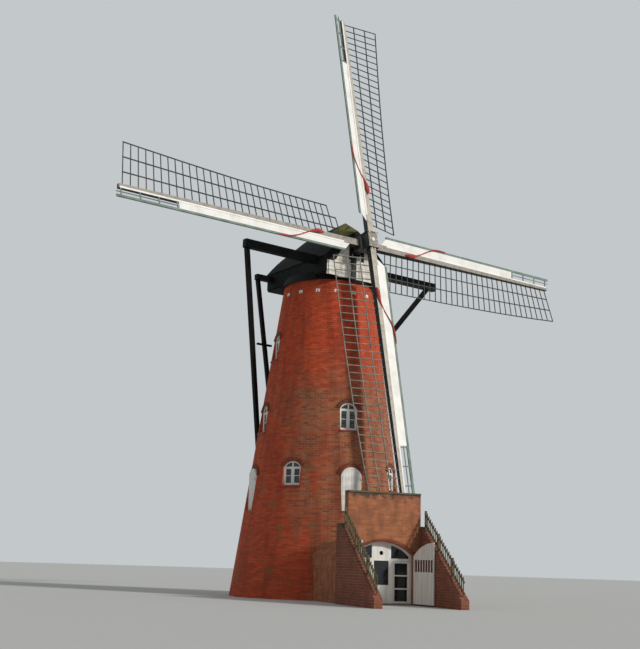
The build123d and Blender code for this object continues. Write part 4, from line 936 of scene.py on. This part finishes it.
canvas = red_canvas()
for quarter, side in enumerate(("top", "left", "bottom", "right")):
    name = "sail_roll_" + side
    mesh = mesh_of(name, roll_shape(arm(quarter), FOLD_SHIFT * quarter), canvas)
    roll = put_in_scene(name, mesh)
    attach(roll, "rotor")
    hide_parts("rolled_sails")
    print(name, "cloth area", round(sum(face.area for face in mesh.polygons), 2))

# %% [markdown]
# ## The cap's front
#
# Black barge boards follow the roof's edge over the white front, and black boards close the
# gap where the windshaft comes out. Both are tarred, and their wide black is partly painted
# shade: the shade under the roof's edge and round the shaft. The roof's edge is a straight
# slope with a soft bulge. One board could be cut to that curve; short pieces laid end to end
# follow it from its formula alone, and the eye takes them for one.

# %% Barge boards and the boards round the shaft
ROOF_HALF, EAVE, HOOD, BULGE = 1.91, 1.074, 2.674, 0.32
BARGE_STEPS, BARGE_LEAST, BARGE_FOOT, ROOF_LAP = 12, 0.44, 0.84, 0.01
BARGE_KNEE, BARGE_SLOPE = (1.01, 1.47), 1.96
BARGE_BACK, BARGE_FACE, SHAFT_BOARD_FACE = 2.272, 2.325, 2.298
# across and up, for the boards left and right of the shaft and above it
SHAFT_BOARDS = [((-0.46, -0.29), (1.10, 1.98)), ((0.29, 0.46), (1.10, 1.98)),
                ((-0.46, 0.46), (1.98, 2.16))]


def roof_edge(share):
    """Half width and height of the roof's front edge, 0 at the ridge and 1 at the eave."""
    lift = 1 - share + BULGE * share * (1 - share)
    return ROOF_HALF * share, EAVE + (HOOD - EAVE) * lift


def barge_edge(across, height):
    """The lower edge: narrow at the ridge, and steep down to the breast beam at the eave."""
    slope = BARGE_KNEE[1] - BARGE_SLOPE * (across - BARGE_KNEE[0])
    return max(BARGE_FOOT, min(height - BARGE_LEAST, slope))


# tarred boards; their wide black band is partly painted shade under the roof's edge
barge = Piece("barge_boards", "cap", "black_wood", tarred_timber)
for side in (-1, 1):
    for step in range(BARGE_STEPS):
        near, far = roof_edge(step / BARGE_STEPS), roof_edge((step + 1) / BARGE_STEPS)
        outline = [(side * near[0], near[1] - ROOF_LAP), (side * far[0], far[1] - ROOF_LAP),
                   (side * far[0], barge_edge(*far)), (side * near[0], barge_edge(*near))]
        barge.hull(CAP, *[[(w, z, depth) for w, z in outline] for depth in (BARGE_BACK, BARGE_FACE)])
barge.done()

# tarred boards; their black is partly painted shade round the shaft
shaft_boards = Piece("shaft_opening_boards", "cap", "black_wood", tarred_timber)
for across, height in SHAFT_BOARDS:
    shaft_boards.box(CAP, across, height, (BARGE_BACK, SHAFT_BOARD_FACE))
shaft_boards.done()

# %% [markdown]
# ## Wedges and bolts of the poll end
#
# Each stock is held in the poll end by pairs of wedges, painted white so that one that works
# loose is seen, and the casting's face carries a few bolt heads in the same paint. Boxes in
# the frame of each sail place the wedges alike on all four arms.

# %% Wedges and bolts
POLL_HALVES = (0.43, 0.28)
WEDGE_PLACES, WEDGE_WIDTH, WEDGE_FACES = (-0.11, 0.07), 0.055, (0.15, 0.205)
WEDGE_INSIDE, WEDGE_OUTSIDE = 0.02, 0.085
POLL_FACE, BOLT_BEDDED = 3.66, 0.02
# across, up, how far it stands out, radius and sides: six bolts round the shaft's own end
BOLTS = [(across, up, 0.03, 0.035, 6) for across, up in (
    (-0.2, -0.35), (0.2, -0.35), (-0.2, 0.35), (0.2, 0.35), (-0.2, 0), (0.2, 0))]
BOLTS.append((0, 0, 0.012, 0.10, 16))

# white with a little grime, so that it reads against the grey casting
wedge_paint = painted_wood("white_painted_wedges", "#f0f0ec", "#c4c2b8", 0.4, 0.5)
wedges = Piece("stock_wedges", "rotor", "white_wood", wedge_paint, bevel=0.004)
for quarter in range(4):
    start = POLL_HALVES[quarter % 2]
    for across in WEDGE_PLACES:
        for side in (-1, 1):
            wedges.box(arm(quarter), (across, across + WEDGE_WIDTH),
                       (start - WEDGE_INSIDE, start + WEDGE_OUTSIDE),
                       sorted(side * face for face in WEDGE_FACES))
wedges.done()

bolts = Piece("poll_bolts", "rotor", "white_wood", wedge_paint, bevel=0.003)
for across, up, proud, radius, sides in BOLTS:
    bolts.rod(SHAFT, (across, up, POLL_FACE - BOLT_BEDDED), (across, up, POLL_FACE + proud), radius, sides)
bolts.done()

# %% [markdown]
# ## White laps on the stocks
#
# Along the edge towards the wind boards each stock has a narrow white strip on its face, so
# the boards and the stock's bare tip read as one white line from afar. Paint on the stock
# could draw it, but a strip that stands proud catches the light as the boards do. It tapers
# with the stock, so its two ends are drawn apart and joined.

# %% Lap strips
LAP_ENDS, LAP_WIDTH, LAP_EDGE = (1.36, 13.2), 0.075, 0.005
LAP_PROUD, LAP_BEDDED = 0.012, 0.02
laps = Piece("stock_laps", "rotor", "white_wood", white_sail_boards)
for quarter in range(4):
    ends = []
    for reach in LAP_ENDS:
        edge, face = -stock_half(reach, STOCK_WIDTH), stock_half(reach, STOCK_DEPTH)
        outer, inner, under, top = edge - LAP_EDGE, edge + LAP_WIDTH, face - LAP_BEDDED, face + LAP_PROUD
        ends.append([(outer, reach, under), (inner, reach, under), (inner, reach, top),
                     (outer, reach, top)])
    laps.hull(arm(quarter), *ends)
laps.done()

# %% [markdown]
# ## Bars in the outer leaves
#
# The light of each outer leaf is open and only barred. The bars could be drawn where the leaf
# stands; drawing them in the shut leaf, in its arch, and turning them about its hinge with it
# keeps them in its plane.

# %% Leaf bars
LEAF_HINGE, LEAF_TURN = (1.39, -7.472), math.radians(101)
LEAF_LIGHT, LEAF_LIGHT_Z, LEAF_MIDDLE = (0.075, 1.315), (1.36, 1.87), -7.425
LEAF_BARS, BAR_HALF_WIDTH, BAR_HALF_DEPTH = 6, 0.02, 0.012
for side, name in ((1, "right"), (-1, "left")):
    hinge = Vector((side * LEAF_HINGE[0], LEAF_HINGE[1], 0))
    turn = Matrix.Rotation(side * LEAF_TURN, 4, "Z")
    turned = Matrix.Translation(hinge) @ turn @ Matrix.Translation(-hinge)
    leaf_bars = Piece("leaf_bars_" + name, "outer_leaf_" + name, "white_wood", white_joinery, bevel=0.003)
    pitch = (LEAF_LIGHT[1] - LEAF_LIGHT[0]) / (LEAF_BARS + 1)
    for index in range(LEAF_BARS):
        middle = side * (LEAF_LIGHT[0] + pitch * (index + 1))
        leaf_bars.box(turned, (middle - BAR_HALF_WIDTH, middle + BAR_HALF_WIDTH),
                      (LEAF_MIDDLE - BAR_HALF_DEPTH, LEAF_MIDDLE + BAR_HALF_DEPTH), LEAF_LIGHT_Z)
    leaf_bars.done()
